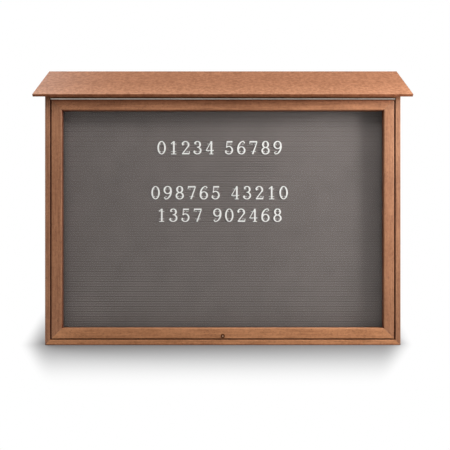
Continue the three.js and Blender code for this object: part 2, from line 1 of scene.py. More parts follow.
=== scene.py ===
# %% [markdown]
# # A lockable notice board, dressed in Blender
#
# The board arrives as forty-seven separate CAD solids, in metres and already in place: a case
# of plastic lumber, a top-hinged glazed door, a cam lock, two gas struts and a grooved letter
# board. This lesson gives each solid its finish, and makes the small things that CAD leaves
# out: screws, seals, the rolled hinge, and push-in numerals. Nothing that CAD placed is moved.

import bmesh
import bpy
import numpy as np
from mathutils import Matrix, Vector


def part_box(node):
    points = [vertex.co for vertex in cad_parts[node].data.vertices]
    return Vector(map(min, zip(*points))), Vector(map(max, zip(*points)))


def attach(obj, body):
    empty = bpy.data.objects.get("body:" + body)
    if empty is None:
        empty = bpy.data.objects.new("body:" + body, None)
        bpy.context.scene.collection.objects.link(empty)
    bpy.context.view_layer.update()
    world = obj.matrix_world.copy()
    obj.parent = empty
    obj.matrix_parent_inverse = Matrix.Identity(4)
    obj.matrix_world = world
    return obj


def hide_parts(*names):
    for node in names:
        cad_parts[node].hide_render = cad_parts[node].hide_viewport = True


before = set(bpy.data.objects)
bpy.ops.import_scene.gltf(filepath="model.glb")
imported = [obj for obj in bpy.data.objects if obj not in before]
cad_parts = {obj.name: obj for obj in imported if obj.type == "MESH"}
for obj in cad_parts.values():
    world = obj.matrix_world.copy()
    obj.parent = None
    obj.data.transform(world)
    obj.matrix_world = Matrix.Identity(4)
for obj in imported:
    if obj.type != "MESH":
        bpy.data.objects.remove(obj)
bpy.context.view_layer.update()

# %% [markdown]
# ## Surfaces from arrays
#
# Every new piece is a surface worked out with numpy. A grid of points, rows by columns, is
# stitched into four-sided faces, and its open ends are closed with one flat face each. Doubled
# points are merged first, so that a point on an axis becomes a proper pole, and the faces are
# then turned to look outwards. This is quicker than drawing with operators, and exact.


# %% Stitching a grid and making an object
def grid_faces(rows, columns, ring=False):
    """Faces between neighbours of a rows by columns grid. Columns always close on themselves;
    rows do if ring is true, and otherwise the first and last row are closed with a cap."""
    number = np.arange(rows * columns).reshape(rows, columns)
    beside = np.roll(number, -1, axis=1)
    upto = rows if ring else rows - 1
    above, above_beside = np.roll(number, -1, axis=0), np.roll(beside, -1, axis=0)
    corners = np.stack([number, beside, above_beside, above], axis=-1)[:upto]
    faces = corners.reshape(-1, 4).tolist()
    if not ring:
        faces += [number[0, ::-1].tolist(), number[-1].tolist()]
    return faces


def solid(name, parts):
    """One mesh from closed parts, each a pair of points and faces. The face numbers of a part
    start after the points of the parts before it."""
    points, faces, offset = [], [], 0
    for part_points, part_faces in parts:
        points.append(np.asarray(part_points, float).reshape(-1, 3))
        faces += [[offset + corner for corner in face] for face in part_faces]
        offset += len(points[-1])
    mesh = bpy.data.meshes.new(name)
    mesh.from_pydata(np.concatenate(points).tolist(), [], faces)
    shape = bmesh.new()
    shape.from_mesh(mesh)
    bmesh.ops.remove_doubles(shape, verts=shape.verts, dist=1e-7)
    bmesh.ops.recalc_face_normals(shape, faces=shape.faces)
    shape.to_mesh(mesh)
    shape.free()
    return mesh


def piece(name, parts, body, material, smooth_below=40):
    """Makes the finished object of its parts: it rides on a body, and turns sharper than
    smooth_below degrees stay crisp."""
    mesh = solid(name, parts)
    made = bpy.data.objects.new(name, mesh)
    bpy.context.scene.collection.objects.link(made)
    mesh.materials.append(material)
    mesh.set_sharp_from_angle(angle=np.radians(smooth_below))
    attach(made, body)
    print(f"{name}: {len(mesh.polygons)} faces, rides on {body}")
    return made


# %% [markdown]
# ## Profiles
#
# Two ways of making a solid cover almost everything here. A turned piece is a profile of radius
# and place swung round an axis. A bar is a closed section pushed along an axis. Real edges are
# never perfectly sharp, so a section's corners are eased with a short curve before it is used.


# %% Eased sections, turned pieces and bars
def eased(outline, radius, steps=3):
    """Rounds every corner of a closed outline: from the corner C, go a radius back to A and on
    to B, and take the curve (1-t)^2 A + 2t(1-t) C + t^2 B."""
    corner = np.asarray(outline, float)

    def toward(other):
        line = other - corner
        length = np.maximum(np.linalg.norm(line, axis=1, keepdims=True), 1e-12)
        return (corner + line / length * np.minimum(radius, length / 2))[:, None]

    t = np.linspace(0, 1, steps)[None, :, None]
    back, on = toward(np.roll(corner, 1, axis=0)), toward(np.roll(corner, -1, axis=0))
    curve = (1 - t) ** 2 * back + 2 * t * (1 - t) * corner[:, None] + t**2 * on
    return curve.reshape(-1, 2)


AXES = {"x": ((0, 1, 0), (0, 0, 1), (1, 0, 0)), "y": ((0, 0, 1), (1, 0, 0), (0, 1, 0)),
        "z": ((1, 0, 0), (0, 1, 0), (0, 0, 1))}


def turned(profile, steps=48, axis="z", centre=(0, 0, 0), ring=False):
    """Swings a profile of (radius, place along the axis) round it: across = radius cos t and
    up = radius sin t, for t all the way round."""
    profile = np.asarray(profile, float)
    t = np.linspace(0, 2 * np.pi, steps, endpoint=False)
    side, up, along = (np.array(direction, float) for direction in AXES[axis])
    radius, place = profile[:, :1, None], profile[:, 1:, None]
    points = radius * (np.cos(t)[:, None] * side + np.sin(t)[:, None] * up) + place * along
    return points + np.array(centre), grid_faces(len(profile), steps, ring)


def bar(section, start, end, axis="x"):
    """Pushes a closed section, given in the plane across the axis, from start to end."""
    section = np.asarray(section, float)
    side, up, along = (np.array(direction, float) for direction in AXES[axis])
    flat = section[:, :1] * side + section[:, 1:] * up
    return np.stack([flat + start * along, flat + end * along]), grid_faces(2, len(section))


def copies(part, places):
    """The same part at many places, each a 4 by 4 matrix that turns and moves it."""
    points, faces = part
    points = np.asarray(points, float).reshape(-1, 3)
    places = np.asarray(places, float)
    moved = points @ places[:, :3, :3].transpose(0, 2, 1) + places[:, None, :3, 3]
    return [(one, faces) for one in moved]


print("Ways of making a solid: turned, bar, copies")

# %% [markdown]
# ## The camera
#
# The photograph looks straight at the board from 1.81 m in front of its face, a little above
# the lower third. A level camera keeps the uprights upright. The lens follows from the width
# of the case, 355 of 450 pixels at that distance.

# %% Place the camera
front_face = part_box("door_bottom_rail")[0].y
distance, eye_height, off_centre = 1.813, 0.4455, 0.0082
camera = bpy.data.objects.new("camera", bpy.data.cameras.new("camera"))
bpy.context.scene.collection.objects.link(camera)
camera.location = (off_centre, front_face - distance, eye_height)
camera.rotation_euler = (np.pi / 2, 0, 0)
camera.data.sensor_width, camera.data.lens = 36, 39.07
bpy.context.scene.camera = camera
print("Camera at", [round(v, 3) for v in camera.location], "lens", camera.data.lens)

# %% [markdown]
# ## Node helpers
#
# Materials are trees of nodes. One short function adds a node and fills its sockets, either
# with a value or with a wire from another node. A group is a small tree with named sockets:
# it holds an effect, such as grain, that several materials use with their own values.


# %% Adding nodes and building groups
def add(tree, kind, inputs=None, **settings):
    """Adds a node. A socket in inputs is wired up, and anything else becomes its value."""
    node = tree.nodes.new("ShaderNode" + kind)
    for name, value in settings.items():
        setattr(node, name, value)
    for name, value in (inputs or {}).items():
        if isinstance(value, bpy.types.NodeSocket):
            tree.links.new(value, node.inputs[name])
        else:
            node.inputs[name].default_value = value
    return node


def calc(tree, operation, first, second=0.0, third=0.0, clamp=False):
    """One sum of the Math node."""
    node = add(tree, "Math", {0: first, 1: second, 2: third}, operation=operation)
    node.use_clamp = clamp
    return node.outputs[0]


def blend(tree, share, first, second, how="MIX"):
    """Mixes two colours: the share runs from the first to the second."""
    node = add(tree, "Mix", {0: share, 6: first, 7: second}, data_type="RGBA", blend_type=how)
    return node.outputs[2]


def times(tree, vector, factors):
    """A vector or a colour, each of its numbers times its own factor."""
    return add(tree, "VectorMath", {0: vector, 1: factors}, operation="MULTIPLY").outputs[0]


def scaled(tree, vector, factor):
    """A vector or a colour, all of it times one factor."""
    return add(tree, "VectorMath", {0: vector, "Scale": factor}, operation="SCALE").outputs[0]


def noise(tree, place, stretch, detail=3.0):
    """Cloudy noise at a place whose three axes are stretched: larger numbers give finer noise."""
    sockets = {"Vector": times(tree, place, stretch), "Scale": 1.0, "Detail": detail,
               "Roughness": 0.55}
    return add(tree, "TexNoise", sockets).outputs["Fac"]


def window(tree, value, low, high):
    """0 below low, 1 above high, and smooth between."""
    sockets = {"Value": value, "From Min": low, "From Max": high}
    node = add(tree, "MapRange", sockets, interpolation_type="SMOOTHSTEP")
    return node.outputs[0]


def fade(tree, value, low, high):
    """The opposite of window: 1 below low, 0 above high, and smooth between."""
    return calc(tree, "SUBTRACT", 1.0, window(tree, value, low, high))


def carry(tree, value, low, high):
    """Carries noise, which mostly lies between 0.3 and 0.7, straight to low and high."""
    sockets = {"Value": value, "From Min": 0.3, "From Max": 0.7, "To Min": low, "To Max": high}
    return add(tree, "MapRange", sockets).outputs[0]


def apart(tree, vector):
    """The three numbers of a vector, by their names X, Y and Z."""
    return add(tree, "SeparateXYZ", {0: vector}).outputs


def here(tree):
    """Where a point of the surface lies: its Object coordinates, in metres."""
    return add(tree, "TexCoord").outputs["Object"]


def group(name, inputs, outputs):
    """A new group with named sockets: inputs are (name, kind, default) and outputs are
    (name, kind)."""
    tree = bpy.data.node_groups.new(name, "ShaderNodeTree")
    for direction, sockets in (("INPUT", inputs), ("OUTPUT", outputs)):
        for socket_name, kind, *default in sockets:
            socket = tree.interface.new_socket(
                name=socket_name, in_out=direction, socket_type="NodeSocket" + kind)
            if default:
                socket.default_value = default[0]
    start, end = tree.nodes.new("NodeGroupInput"), tree.nodes.new("NodeGroupOutput")
    return tree, start.outputs, end.inputs


def srgb(red, green, blue):
    """A colour as pictures write it, 0 to 255, turned into the light that Blender works with."""
    share = np.array([red, green, blue]) / 255
    light = np.where(share <= 0.04045, share / 12.92, ((share + 0.055) / 1.055) ** 2.4)
    return (*light.tolist(), 1.0)


print("Node helpers ready")

# %% [markdown]
# ## Grain of plastic lumber
#
# The lumber is recycled plastic, coloured like cedar and brushed along its length. Up close it
# has long soft streaks, hair-fine scratches, cloudy changes of tone and scattered dark flecks.
# Each is noise stretched along the grain, so the group expects its grain along X; an upright
# board turns its coordinates with a Mapping node before it comes in. Where several colours of
# scrap were melted together there is a mottle as well, the same size in every direction.

# %% Build the grain group
FLECK_TONE = (0.055, 0.022, 0.010, 1)
grain, given, made = group(
    "lumber_grain",
    [("Place", "Vector"), ("Light tone", "Color", (0.5, 0.3, 0.2, 1)),
     ("Dark tone", "Color", (0.2, 0.1, 0.05, 1)), ("Stretch", "Float", 1.0),
     ("Fleck share", "Float", 0.5), ("Mottle", "Float", 0.2)],
    [("Colour", "Color"), ("Roughness", "Float"), ("Height", "Float")])
squeeze = add(grain, "CombineXYZ", {0: given["Stretch"], 1: 1.0, 2: 1.0}).outputs[0]
along = times(grain, given["Place"], squeeze)
streaks = noise(grain, along, (9, 170, 170))
scratches = noise(grain, along, (60, 1100, 1100), detail=2.0)
clouds = noise(grain, along, (7, 15, 15))
specks = window(grain, noise(grain, along, (150, 480, 480), detail=1.0), 0.60, 0.72)
tone = calc(grain, "MULTIPLY_ADD", streaks, 0.42, calc(grain, "MULTIPLY", scratches, 0.30))
tone = calc(grain, "MULTIPLY_ADD", clouds, 0.28, tone)
mottle = noise(grain, given["Place"], (85, 85, 85), detail=2.5)
mottled = add(grain, "Mix", {0: given["Mottle"], 2: tone, 3: mottle}).outputs[0]
tone = window(grain, mottled, 0.36, 0.64)
tinted = blend(grain, tone, given["Dark tone"], given["Light tone"])
fleck = calc(grain, "MULTIPLY", specks, given["Fleck share"])
grain.links.new(blend(grain, fleck, tinted, FLECK_TONE), made["Colour"])
grain.links.new(calc(grain, "MULTIPLY_ADD", scratches, 0.25, 0.42), made["Roughness"])
relief = calc(grain, "MULTIPLY_ADD", scratches, 0.6, calc(grain, "MULTIPLY", streaks, 0.5))
grain.links.new(calc(grain, "MULTIPLY_ADD", specks, -0.4, relief), made["Height"])
print("Group lumber_grain:", len(grain.nodes), "nodes")

# %% [markdown]
# ## Worn and highlit edges
#
# Handling and weather pale the edges of a board first. On the lumber the same pale line also
# serves as a painted highlight along the arrises. The Bevel node answers with the normal that a
# rounded edge would have; where that differs from the true normal, there is an edge. A little
# noise breaks the line up, so that it doesn't look drawn.

# %% Build the edge group
edges, given, made = group(
    "edge_wear_and_highlight", [("Place", "Vector"), ("Reach", "Float", 0.0015)], [("Mask", "Float")])
rounded = add(edges, "Bevel", {"Radius": given["Reach"]}, samples=6).outputs[0]
true_normal = add(edges, "NewGeometry").outputs["Normal"]
agree = add(edges, "VectorMath", {0: rounded, 1: true_normal}, operation="DOT_PRODUCT")
turned_by = calc(edges, "SUBTRACT", 1.0, agree.outputs["Value"])
turn = window(edges, turned_by, 0.01, 0.20)
broken = window(edges, noise(edges, given["Place"], (90, 90, 90)), 0.35, 0.65)
edges.links.new(calc(edges, "MULTIPLY", turn, broken, clamp=True), made["Mask"])
print("Group edge_wear_and_highlight:", len(edges.nodes), "nodes")

# %% [markdown]
# ## Painted shade in deep gaps
#
# Round the door, under the eave and in the mitres, little light gets in, and this group paints
# that shade into the colour. The Ambient Occlusion node measures how much of the sky is hidden
# close by, so its lack is a mask for narrow places. It opens up again by itself when the door is
# lifted. Reach says how close a neighbour has to be, and Clear how open a place is that gets no
# painted shade.

# %% Build the painted gap shade group
gap_shade_group, given, made = group("painted_gap_shade", [("Reach", "Float", 0.02), ("Clear", "Float", 0.8)],
                          [("Mask", "Float")])
sky = add(gap_shade_group, "AmbientOcclusion", {"Distance": given["Reach"]}, samples=8).outputs["AO"]
# Painted shade: the less sky a point sees close by, the darker its colour is made.
gap_shade_group.links.new(fade(gap_shade_group, sky, 0.35, given["Clear"]), made["Mask"])
print("Group painted_gap_shade:", len(gap_shade_group.nodes), "nodes")

# %% [markdown]
# ## A material from its groups
#
# Each material has one Principled shader. The groups feed its colour, roughness and bump, and
# anything that is the same all over the surface is typed straight into the shader's socket.


# %% Start a material, and wire a group into it
def start_material(name, turn=(0, 0, 0), **sockets):
    """A material with its shader and its Object coordinates, turned if asked. Sockets are the
    shader's, with spaces as underscores."""
    material = bpy.data.materials.new(name)
    material.use_nodes = True
    tree = material.node_tree
    shader = tree.nodes["Principled BSDF"]
    for socket, value in sockets.items():
        shader.inputs[socket.replace("_", " ")].default_value = value
    place = here(tree)
    if any(turn):
        place = add(tree, "Mapping", {"Vector": place, "Rotation": turn}).outputs[0]
    return material, tree, shader, place


def use(tree, group_tree, **inputs):
    """Places a group in a tree. Names are its sockets, with spaces as underscores."""
    node = tree.nodes.new("ShaderNodeGroup")
    node.node_tree = group_tree
    for name, value in inputs.items():
        socket = node.inputs[name.replace("_", " ")]
        if isinstance(value, bpy.types.NodeSocket):
            tree.links.new(value, socket)
        else:
            socket.default_value = value
    return node.outputs


def wire(tree, shader, colour, height, depth, roughness=None):
    """Connects what a group gives to the shader. Depth is the height of the relief, in metres."""
    bump = add(tree, "Bump", {"Height": height, "Distance": depth, "Strength": 1.0})
    tree.links.new(colour, shader.inputs["Base Color"])
    tree.links.new(bump.outputs[0], shader.inputs["Normal"])
    if roughness is not None:
        tree.links.new(roughness, shader.inputs["Roughness"])


def reopen(material):
    """A finished material's tree and shader, and the colour that feeds the shader so far."""
    shader = material.node_tree.nodes["Principled BSDF"]
    return material.node_tree, shader, shader.inputs["Base Color"].links[0].from_socket


print("Material helpers ready")

# %% [markdown]
# ## Lumber, level and upright
#
# Rails and boards are sawn from one stock, so they share one recipe: only the way the grain
# runs, and a small difference of tone, set them apart. Painted shade darkens their narrow places,
# and reaches farther on the stiles, whose inner faces lie in shade, and on the top rail, which
# lies in the shadow of the eave. The roof sheet isn't brushed: its flecks are nearly as wide as
# they are long.


# %% Make the lumber materials
UPRIGHT = (0, np.pi / 2, 0)
# Tones: a pale edge that is partly wear and partly a painted highlight, and a deep brown for
# painted shade.
WEAR_AND_HIGHLIGHT_TONE, GAP_SHADE_TONE = srgb(216, 176, 146), (0.36, 0.13, 0.07, 1)
EDGE_REACH, GRAIN_DEPTH = 0.0016, 0.00018


def lumber(name, light, dark, turn=(0, 0, 0), stretch=1.0, flecks=0.45, wear=0.5,
           gloss=0.30, mottle=0.2, reach=0.012, clear=0.9):
    """Brushed plastic lumber whose grain runs along X before the turn."""
    material, tree, shader, place = start_material(name, turn, Specular_IOR_Level=gloss)
    found = use(tree, grain, Place=place, Light_tone=light, Dark_tone=dark,
                Stretch=stretch, Fleck_share=flecks, Mottle=mottle)
    # The pale edge line: partly wear, and partly a painted highlight along the arrises.
    mask = use(tree, edges, Place=place, Reach=EDGE_REACH)["Mask"]
    share = calc(tree, "MULTIPLY", mask, wear)
    worn_and_highlit = blend(tree, share, found["Colour"], WEAR_AND_HIGHLIGHT_TONE)
    # Painted shade: narrow places are darkened towards a deep brown.
    shaded_share = use(tree, gap_shade_group, Reach=reach, Clear=clear)["Mask"]
    gap_shaded = blend(tree, shaded_share, worn_and_highlit, GAP_SHADE_TONE, "MULTIPLY")
    wire(tree, shader, gap_shaded, found["Height"], GRAIN_DEPTH, found["Roughness"])
    return material


lumber_level = lumber("lumber_level", srgb(200, 139, 96), srgb(156, 102, 66), wear=0.8,
                      reach=0.006)
lumber_eave = lumber("lumber_eave", srgb(190, 130, 92), srgb(147, 95, 63), reach=0.05, clear=0.95)
lumber_upright = lumber("lumber_upright", srgb(175, 122, 88), srgb(134, 86, 58), turn=UPRIGHT,
                        reach=0.03)
lumber_side = lumber("lumber_side", srgb(168, 118, 86), srgb(130, 84, 58), turn=UPRIGHT)
lumber_inside = lumber("lumber_inside", srgb(168, 117, 85), srgb(140, 94, 66), flecks=0.6)
roof_lumber = lumber("roof_lumber", srgb(184, 127, 94), srgb(150, 98, 69), stretch=3.4,
                     flecks=0.30, wear=0.1, gloss=0.05, mottle=0.5, reach=0.02)
print("Lumber materials:", lumber_level.name, lumber_upright.name, roof_lumber.name)

# %% [markdown]
# The roof is made paler along its eave, on the faces that look up. Its front edge is painted
# darker as shade, and its underside is painted nearly black as deep shade, except close to its
# edge. The material reads how far forward a point lies and how much it faces the sky, and
# multiplies its colour by a tone for each.

# %% Pale the eave, and paint shade on its edge and underside
FASCIA_SHADE, UNDERSIDE_SHADE, EAVE_PALING = (0.62, 0.52, 0.48, 1), (0.03, 0.012, 0.01, 1), (1.24, 1.33, 1.40, 1)
tree, shader, grain_colour = reopen(roof_lumber)
eave, paling_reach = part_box("roof_board")[0].y, 0.09
forward = apart(tree, here(tree))["Y"]
facing_up = apart(tree, add(tree, "NewGeometry").outputs["Normal"])["Z"]
faces_up, upward = window(tree, facing_up, 0.2, 0.8), window(tree, facing_up, -0.7, -0.2)
clear_of_shade = calc(tree, "MAXIMUM", upward, fade(tree, forward, eave + 0.006, eave + 0.026))
# Painted shade: faces that don't look up take a darker tone, and the underside a nearly black one.
tone = blend(tree, clear_of_shade, UNDERSIDE_SHADE, blend(tree, faces_up, FASCIA_SHADE, (1, 1, 1, 1)))
shaded_roof = blend(tree, 1.0, tone, grain_colour, "MULTIPLY")
# Faces that look up are made paler towards the eave.
paled = calc(tree, "MULTIPLY", fade(tree, forward, eave, eave + paling_reach), faces_up)
tree.links.new(blend(tree, paled, shaded_roof, EAVE_PALING, "MULTIPLY"), shader.inputs["Base Color"])
print("The eave is bleached back to y =", round(eave + paling_reach, 4))

# %% [markdown]
# ## Fibres
#
# The letter board is covered in thin grey felt, and its nap scatters the light in specks finer
# than a millimetre. The foam of the seals has a speckle of the same kind from its cells, finer
# and stronger. One group makes both, and the faint clouds in the plastic of the numerals.

# %% Build the speckle group
speckle, given, made = group(
    "soft_speckle",
    [("Place", "Vector"), ("Colour", "Color", (0.2, 0.2, 0.2, 1)),
     ("Fineness", "Float", 900.0), ("Contrast", "Float", 0.3)],
    [("Colour", "Color"), ("Height", "Float")])
fine = scaled(speckle, given["Place"], given["Fineness"])
nap = add(speckle, "TexNoise", {"Vector": fine, "Scale": 1.0, "Detail": 2.0}).outputs["Fac"]
cloth_clouds = noise(speckle, given["Place"], (11, 11, 11))
level = calc(speckle, "MULTIPLY_ADD", cloth_clouds, 0.35, calc(speckle, "MULTIPLY", nap, 0.65))
low = calc(speckle, "SUBTRACT", 1.0, given["Contrast"])
high = calc(speckle, "ADD", 1.0, given["Contrast"])
lightness = carry(speckle, level, low, high)
speckle.links.new(scaled(speckle, given["Colour"], lightness), made["Colour"])
speckle.links.new(nap, made["Height"])
print("Group soft_speckle:", len(speckle.nodes), "nodes")

# %% Make felt, foam and numeral plastic
GROOVE_SHADE_TONE = (0.85, 0.82, 0.82, 1)
letter_felt, tree, shader, place = start_material(
    "letter_felt", Roughness=0.95, Specular_IOR_Level=0.15, Sheen_Weight=0.15,
    Sheen_Roughness=0.6, Sheen_Tint=srgb(190, 184, 180))
found = use(tree, speckle, Place=place, Colour=srgb(123, 115, 112), Fineness=1100.0, Contrast=0.16)
# Painted shade: the inside of each groove is darkened.
groove_shade = use(tree, gap_shade_group, Reach=0.004, Clear=0.95)["Mask"]
shadowed = blend(tree, groove_shade, found["Colour"], GROOVE_SHADE_TONE, "MULTIPLY")
wire(tree, shader, shadowed, found["Height"], 0.0003)

seal_foam, tree, shader, place = start_material(
    "seal_foam", Roughness=0.85, Specular_IOR_Level=0.25)
found = use(tree, speckle, Place=place, Colour=srgb(44, 43, 42), Fineness=1600.0, Contrast=0.45)
wire(tree, shader, found["Colour"], found["Height"], 0.0002)

numeral_plastic, tree, shader, place = start_material(
    "numeral_plastic", Roughness=0.35, Specular_IOR_Level=0.5)
found = use(tree, speckle, Place=place, Colour=srgb(248, 246, 243), Fineness=240.0, Contrast=0.02)
wire(tree, shader, found["Colour"], found["Height"], 0.00004)
print("Soft materials:", letter_felt.name, seal_foam.name, numeral_plastic.name)

# %% [markdown]
# ## Metals
#
# Rolled, turned or ground, every metal here carries fine lines in one direction, which spread
# its highlights. The group draws them along X and gives a tone, a roughness and a relief. The
# hinge, the plated brackets and the brass nut differ only in their values. The lock and the tubes
# of the struts are painted or oxidised over the metal, and wear bright along their edges. The
# lock's dark bronze also stands in for a dark reflection in its face.

# %% Build the metal group
lines, given, made = group(
    "drawn_lines",
    [("Place", "Vector"), ("Colour", "Color", (0.6, 0.6, 0.6, 1)),
     ("Base roughness", "Float", 0.3), ("Spread", "Float", 0.2)],
    [("Colour", "Color"), ("Roughness", "Float"), ("Height", "Float")])
hairs = noise(lines, given["Place"], (40, 2600, 2600), detail=2.0)
blotches = noise(lines, given["Place"], (35, 35, 35), detail=2.0)
rough = calc(lines, "MULTIPLY_ADD", hairs, given["Spread"], given["Base roughness"])
rough = calc(lines, "MULTIPLY_ADD", blotches, 0.10, calc(lines, "SUBTRACT", rough, 0.05))
dulled = carry(lines, blotches, 0.82, 1.0)
lines.links.new(scaled(lines, given["Colour"], dulled), made["Colour"])
lines.links.new(rough, made["Roughness"])
lines.links.new(hairs, made["Height"])
print("Group drawn_lines:", len(lines.nodes), "nodes")


# %% Make the metals
LINE_DEPTH = 0.00002


def metal(name, colour, base_roughness, spread=0.15, turn=(0, 0, 0)):
    """A bare or plated metal with its lines along X before the turn."""
    material, tree, shader, place = start_material(name, turn, Metallic=1.0)
    found = use(tree, lines, Place=place, Colour=colour, Base_roughness=base_roughness,
                Spread=spread)
    wire(tree, shader, found["Colour"], found["Height"], LINE_DEPTH, found["Roughness"])
    return material


def paint(name, colour, base_roughness, wear, turn=(0, 0, 0), gloss=0.5):
    """Paint or a dark oxide over metal, rubbed through to bare metal along its edges."""
    material, tree, shader, place = start_material(name, turn, Specular_IOR_Level=gloss)
    found = use(tree, lines, Place=place, Colour=colour, Base_roughness=base_roughness,
                Spread=0.12)
    share = calc(tree, "MULTIPLY", use(tree, edges, Place=place, Reach=0.0006)["Mask"], wear)
    rubbed = blend(tree, share, found["Colour"], srgb(150, 146, 140))
    wire(tree, shader, rubbed, found["Height"], LINE_DEPTH, found["Roughness"])
    tree.links.new(share, shader.inputs["Metallic"])
    return material


hinge_steel = metal("hinge_steel", srgb(208, 201, 192), 0.30)
bracket_zinc = metal("bracket_zinc", srgb(172, 172, 170), 0.38, spread=0.2)
screw_zinc = metal("screw_zinc", srgb(178, 176, 170), 0.30)
plug_chrome = metal("plug_chrome", srgb(214, 212, 208), 0.16, turn=UPRIGHT)
nut_brass = metal("nut_brass", srgb(190, 158, 96), 0.30)
rod_chrome = metal("rod_chrome", srgb(214, 214, 214), 0.10, spread=0.08, turn=UPRIGHT)
lock_casting = paint("lock_casting", srgb(92, 50, 18), 0.50, wear=0.05, gloss=0.1)
# The plug's dark bronze is also a painted dark reflection.
plug_bronze_reflection = paint("plug_bronze_reflection", srgb(92, 50, 18), 0.40, wear=0.05, turn=UPRIGHT, gloss=0.2)
tube_enamel = paint("tube_enamel", srgb(27, 27, 28), 0.28, wear=0.3, turn=UPRIGHT)
print("Metals:", hinge_steel.name, bracket_zinc.name, plug_chrome.name, nut_brass.name)

# %% [markdown]
# A painted highlight makes the middle of the plug's face bright; how bright depends only on the
# distance from the middle of its face. Between the hinge's knuckles and along the door's edge,
# the steel gets painted shade.


# %% Paint a highlight on the plug and shade on the hinge
def middle(node):
    """The middle of a CAD solid's box, as x, y and z."""
    low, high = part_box(node)
    return [(near + far) / 2 for near, far in zip(low, high)]


tree, shader, dark_face = reopen(plug_bronze_reflection)
face_middle = (0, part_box("lock_plug")[0].y, middle("lock_plug")[2])
glinting, dark = 0.0015, 0.0026
reached = add(tree, "VectorMath", {0: here(tree), 1: face_middle},
              operation="DISTANCE").outputs["Value"]
# Painted highlight: the middle of the plug's face is made bright.
rubbed = blend(tree, window(tree, reached, glinting, dark), srgb(222, 170, 128), dark_face)
tree.links.new(rubbed, shader.inputs["Base Color"])

HINGE_SHADE_TONE = (0.25, 0.18, 0.14, 1)
tree, shader, unshaded_steel = reopen(hinge_steel)
# Painted shade: between the knuckles and along the door's edge the steel is darkened.
hinge_shade = use(tree, gap_shade_group, Reach=0.006, Clear=0.85)["Mask"]
tree.links.new(blend(tree, hinge_shade, unshaded_steel, HINGE_SHADE_TONE, "MULTIPLY"), shader.inputs["Base Color"])
print("The plug is bright within", glinting * 1000, "mm of its middle")

# %% [markdown]
# ## The clear pane
#
# The window is a 3 mm sheet of non-glare acrylic, so head-on it mirrors very little, which is
# what the low specular tint says. To the eye and in reflections it is glass, but light on
# its way to the letter board has to pass: rays that look for a lamp, and rays already scattered
# by a matt surface, get a Transparent shader instead. Without this the board behind stays dark.
# Faint smears vary its roughness.

# %% Make the pane material
pane_acrylic, tree, shader, place = start_material(
    "pane_acrylic", Base_Color=(0.985, 0.99, 0.988, 1), Transmission_Weight=1.0, IOR=1.49,
    Specular_Tint=(0.1, 0.1, 0.1, 1))
smears = window(tree, noise(tree, place, (5, 5, 9)), 0.45, 0.75)
tree.links.new(calc(tree, "MULTIPLY_ADD", smears, 0.012, 0.004), shader.inputs["Roughness"])
ray = add(tree, "LightPath").outputs
passes = calc(tree, "MAXIMUM", ray["Is Shadow Ray"], ray["Is Diffuse Ray"])
clear = add(tree, "BsdfTransparent", {"Color": (0.97, 0.975, 0.973, 1)}).outputs[0]
both = add(tree, "MixShader", {0: passes, 1: shader.outputs[0], 2: clear}).outputs[0]
tree.links.new(both, tree.nodes["Material Output"].inputs["Surface"])
print("Pane material:", pane_acrylic.name)

# %% [markdown]
# ## The back panel
#
# From behind, the case is closed by one sheet, screwed to the three battens and to the ridge
# rail. The wall touches this face, so the screws are sunk flush, and here they are part of the
# material: the distance to the nearest point of a regular pattern draws each head.

# %% Make the back panel material
panel_material = lumber("panel_lumber", srgb(170, 119, 87), srgb(140, 94, 66), flecks=0.5)
tree, shader, wood_colour = reopen(panel_material)
panel_foot, batten_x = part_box("back_panel")[0].z, middle("right_batten")[0]
step = (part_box("centre_batten")[1].z - panel_foot) / 5
place = apart(tree, here(tree))
width_out = calc(tree, "ABSOLUTE", place["X"])
to_outer = calc(tree, "ABSOLUTE", calc(tree, "SUBTRACT", width_out, batten_x))
across = calc(tree, "MINIMUM", width_out, to_outer)
beats = calc(tree, "DIVIDE", calc(tree, "SUBTRACT", place["Z"], panel_foot), step)
off_beat = calc(tree, "SUBTRACT", calc(tree, "FRACT", beats), 0.5)
upward = calc(tree, "ABSOLUTE", calc(tree, "MULTIPLY", off_beat, step))
radial = calc(tree, "SQRT", calc(tree, "ADD", calc(tree, "POWER", across, 2.0),
                                 calc(tree, "POWER", upward, 2.0)))
head_radius = 0.0044
head = fade(tree, radial, head_radius - 0.0004, head_radius)
rim = fade(tree, radial, head_radius, head_radius + 0.0008)
with_rim = blend(tree, rim, wood_colour, srgb(70, 44, 30))
tree.links.new(blend(tree, head, with_rim, srgb(168, 166, 160)), shader.inputs["Base Color"])
tree.links.new(head, shader.inputs["Metallic"])
print("Screws in the back panel every", round(step, 4), "m on the battens")

# %% [markdown]
# ## Dressing the CAD solids
#
# Each CAD solid takes its finish by name. A list of names for each material is easier to check
# than a chain of tests, and the line that is printed at the end names any solid left out.

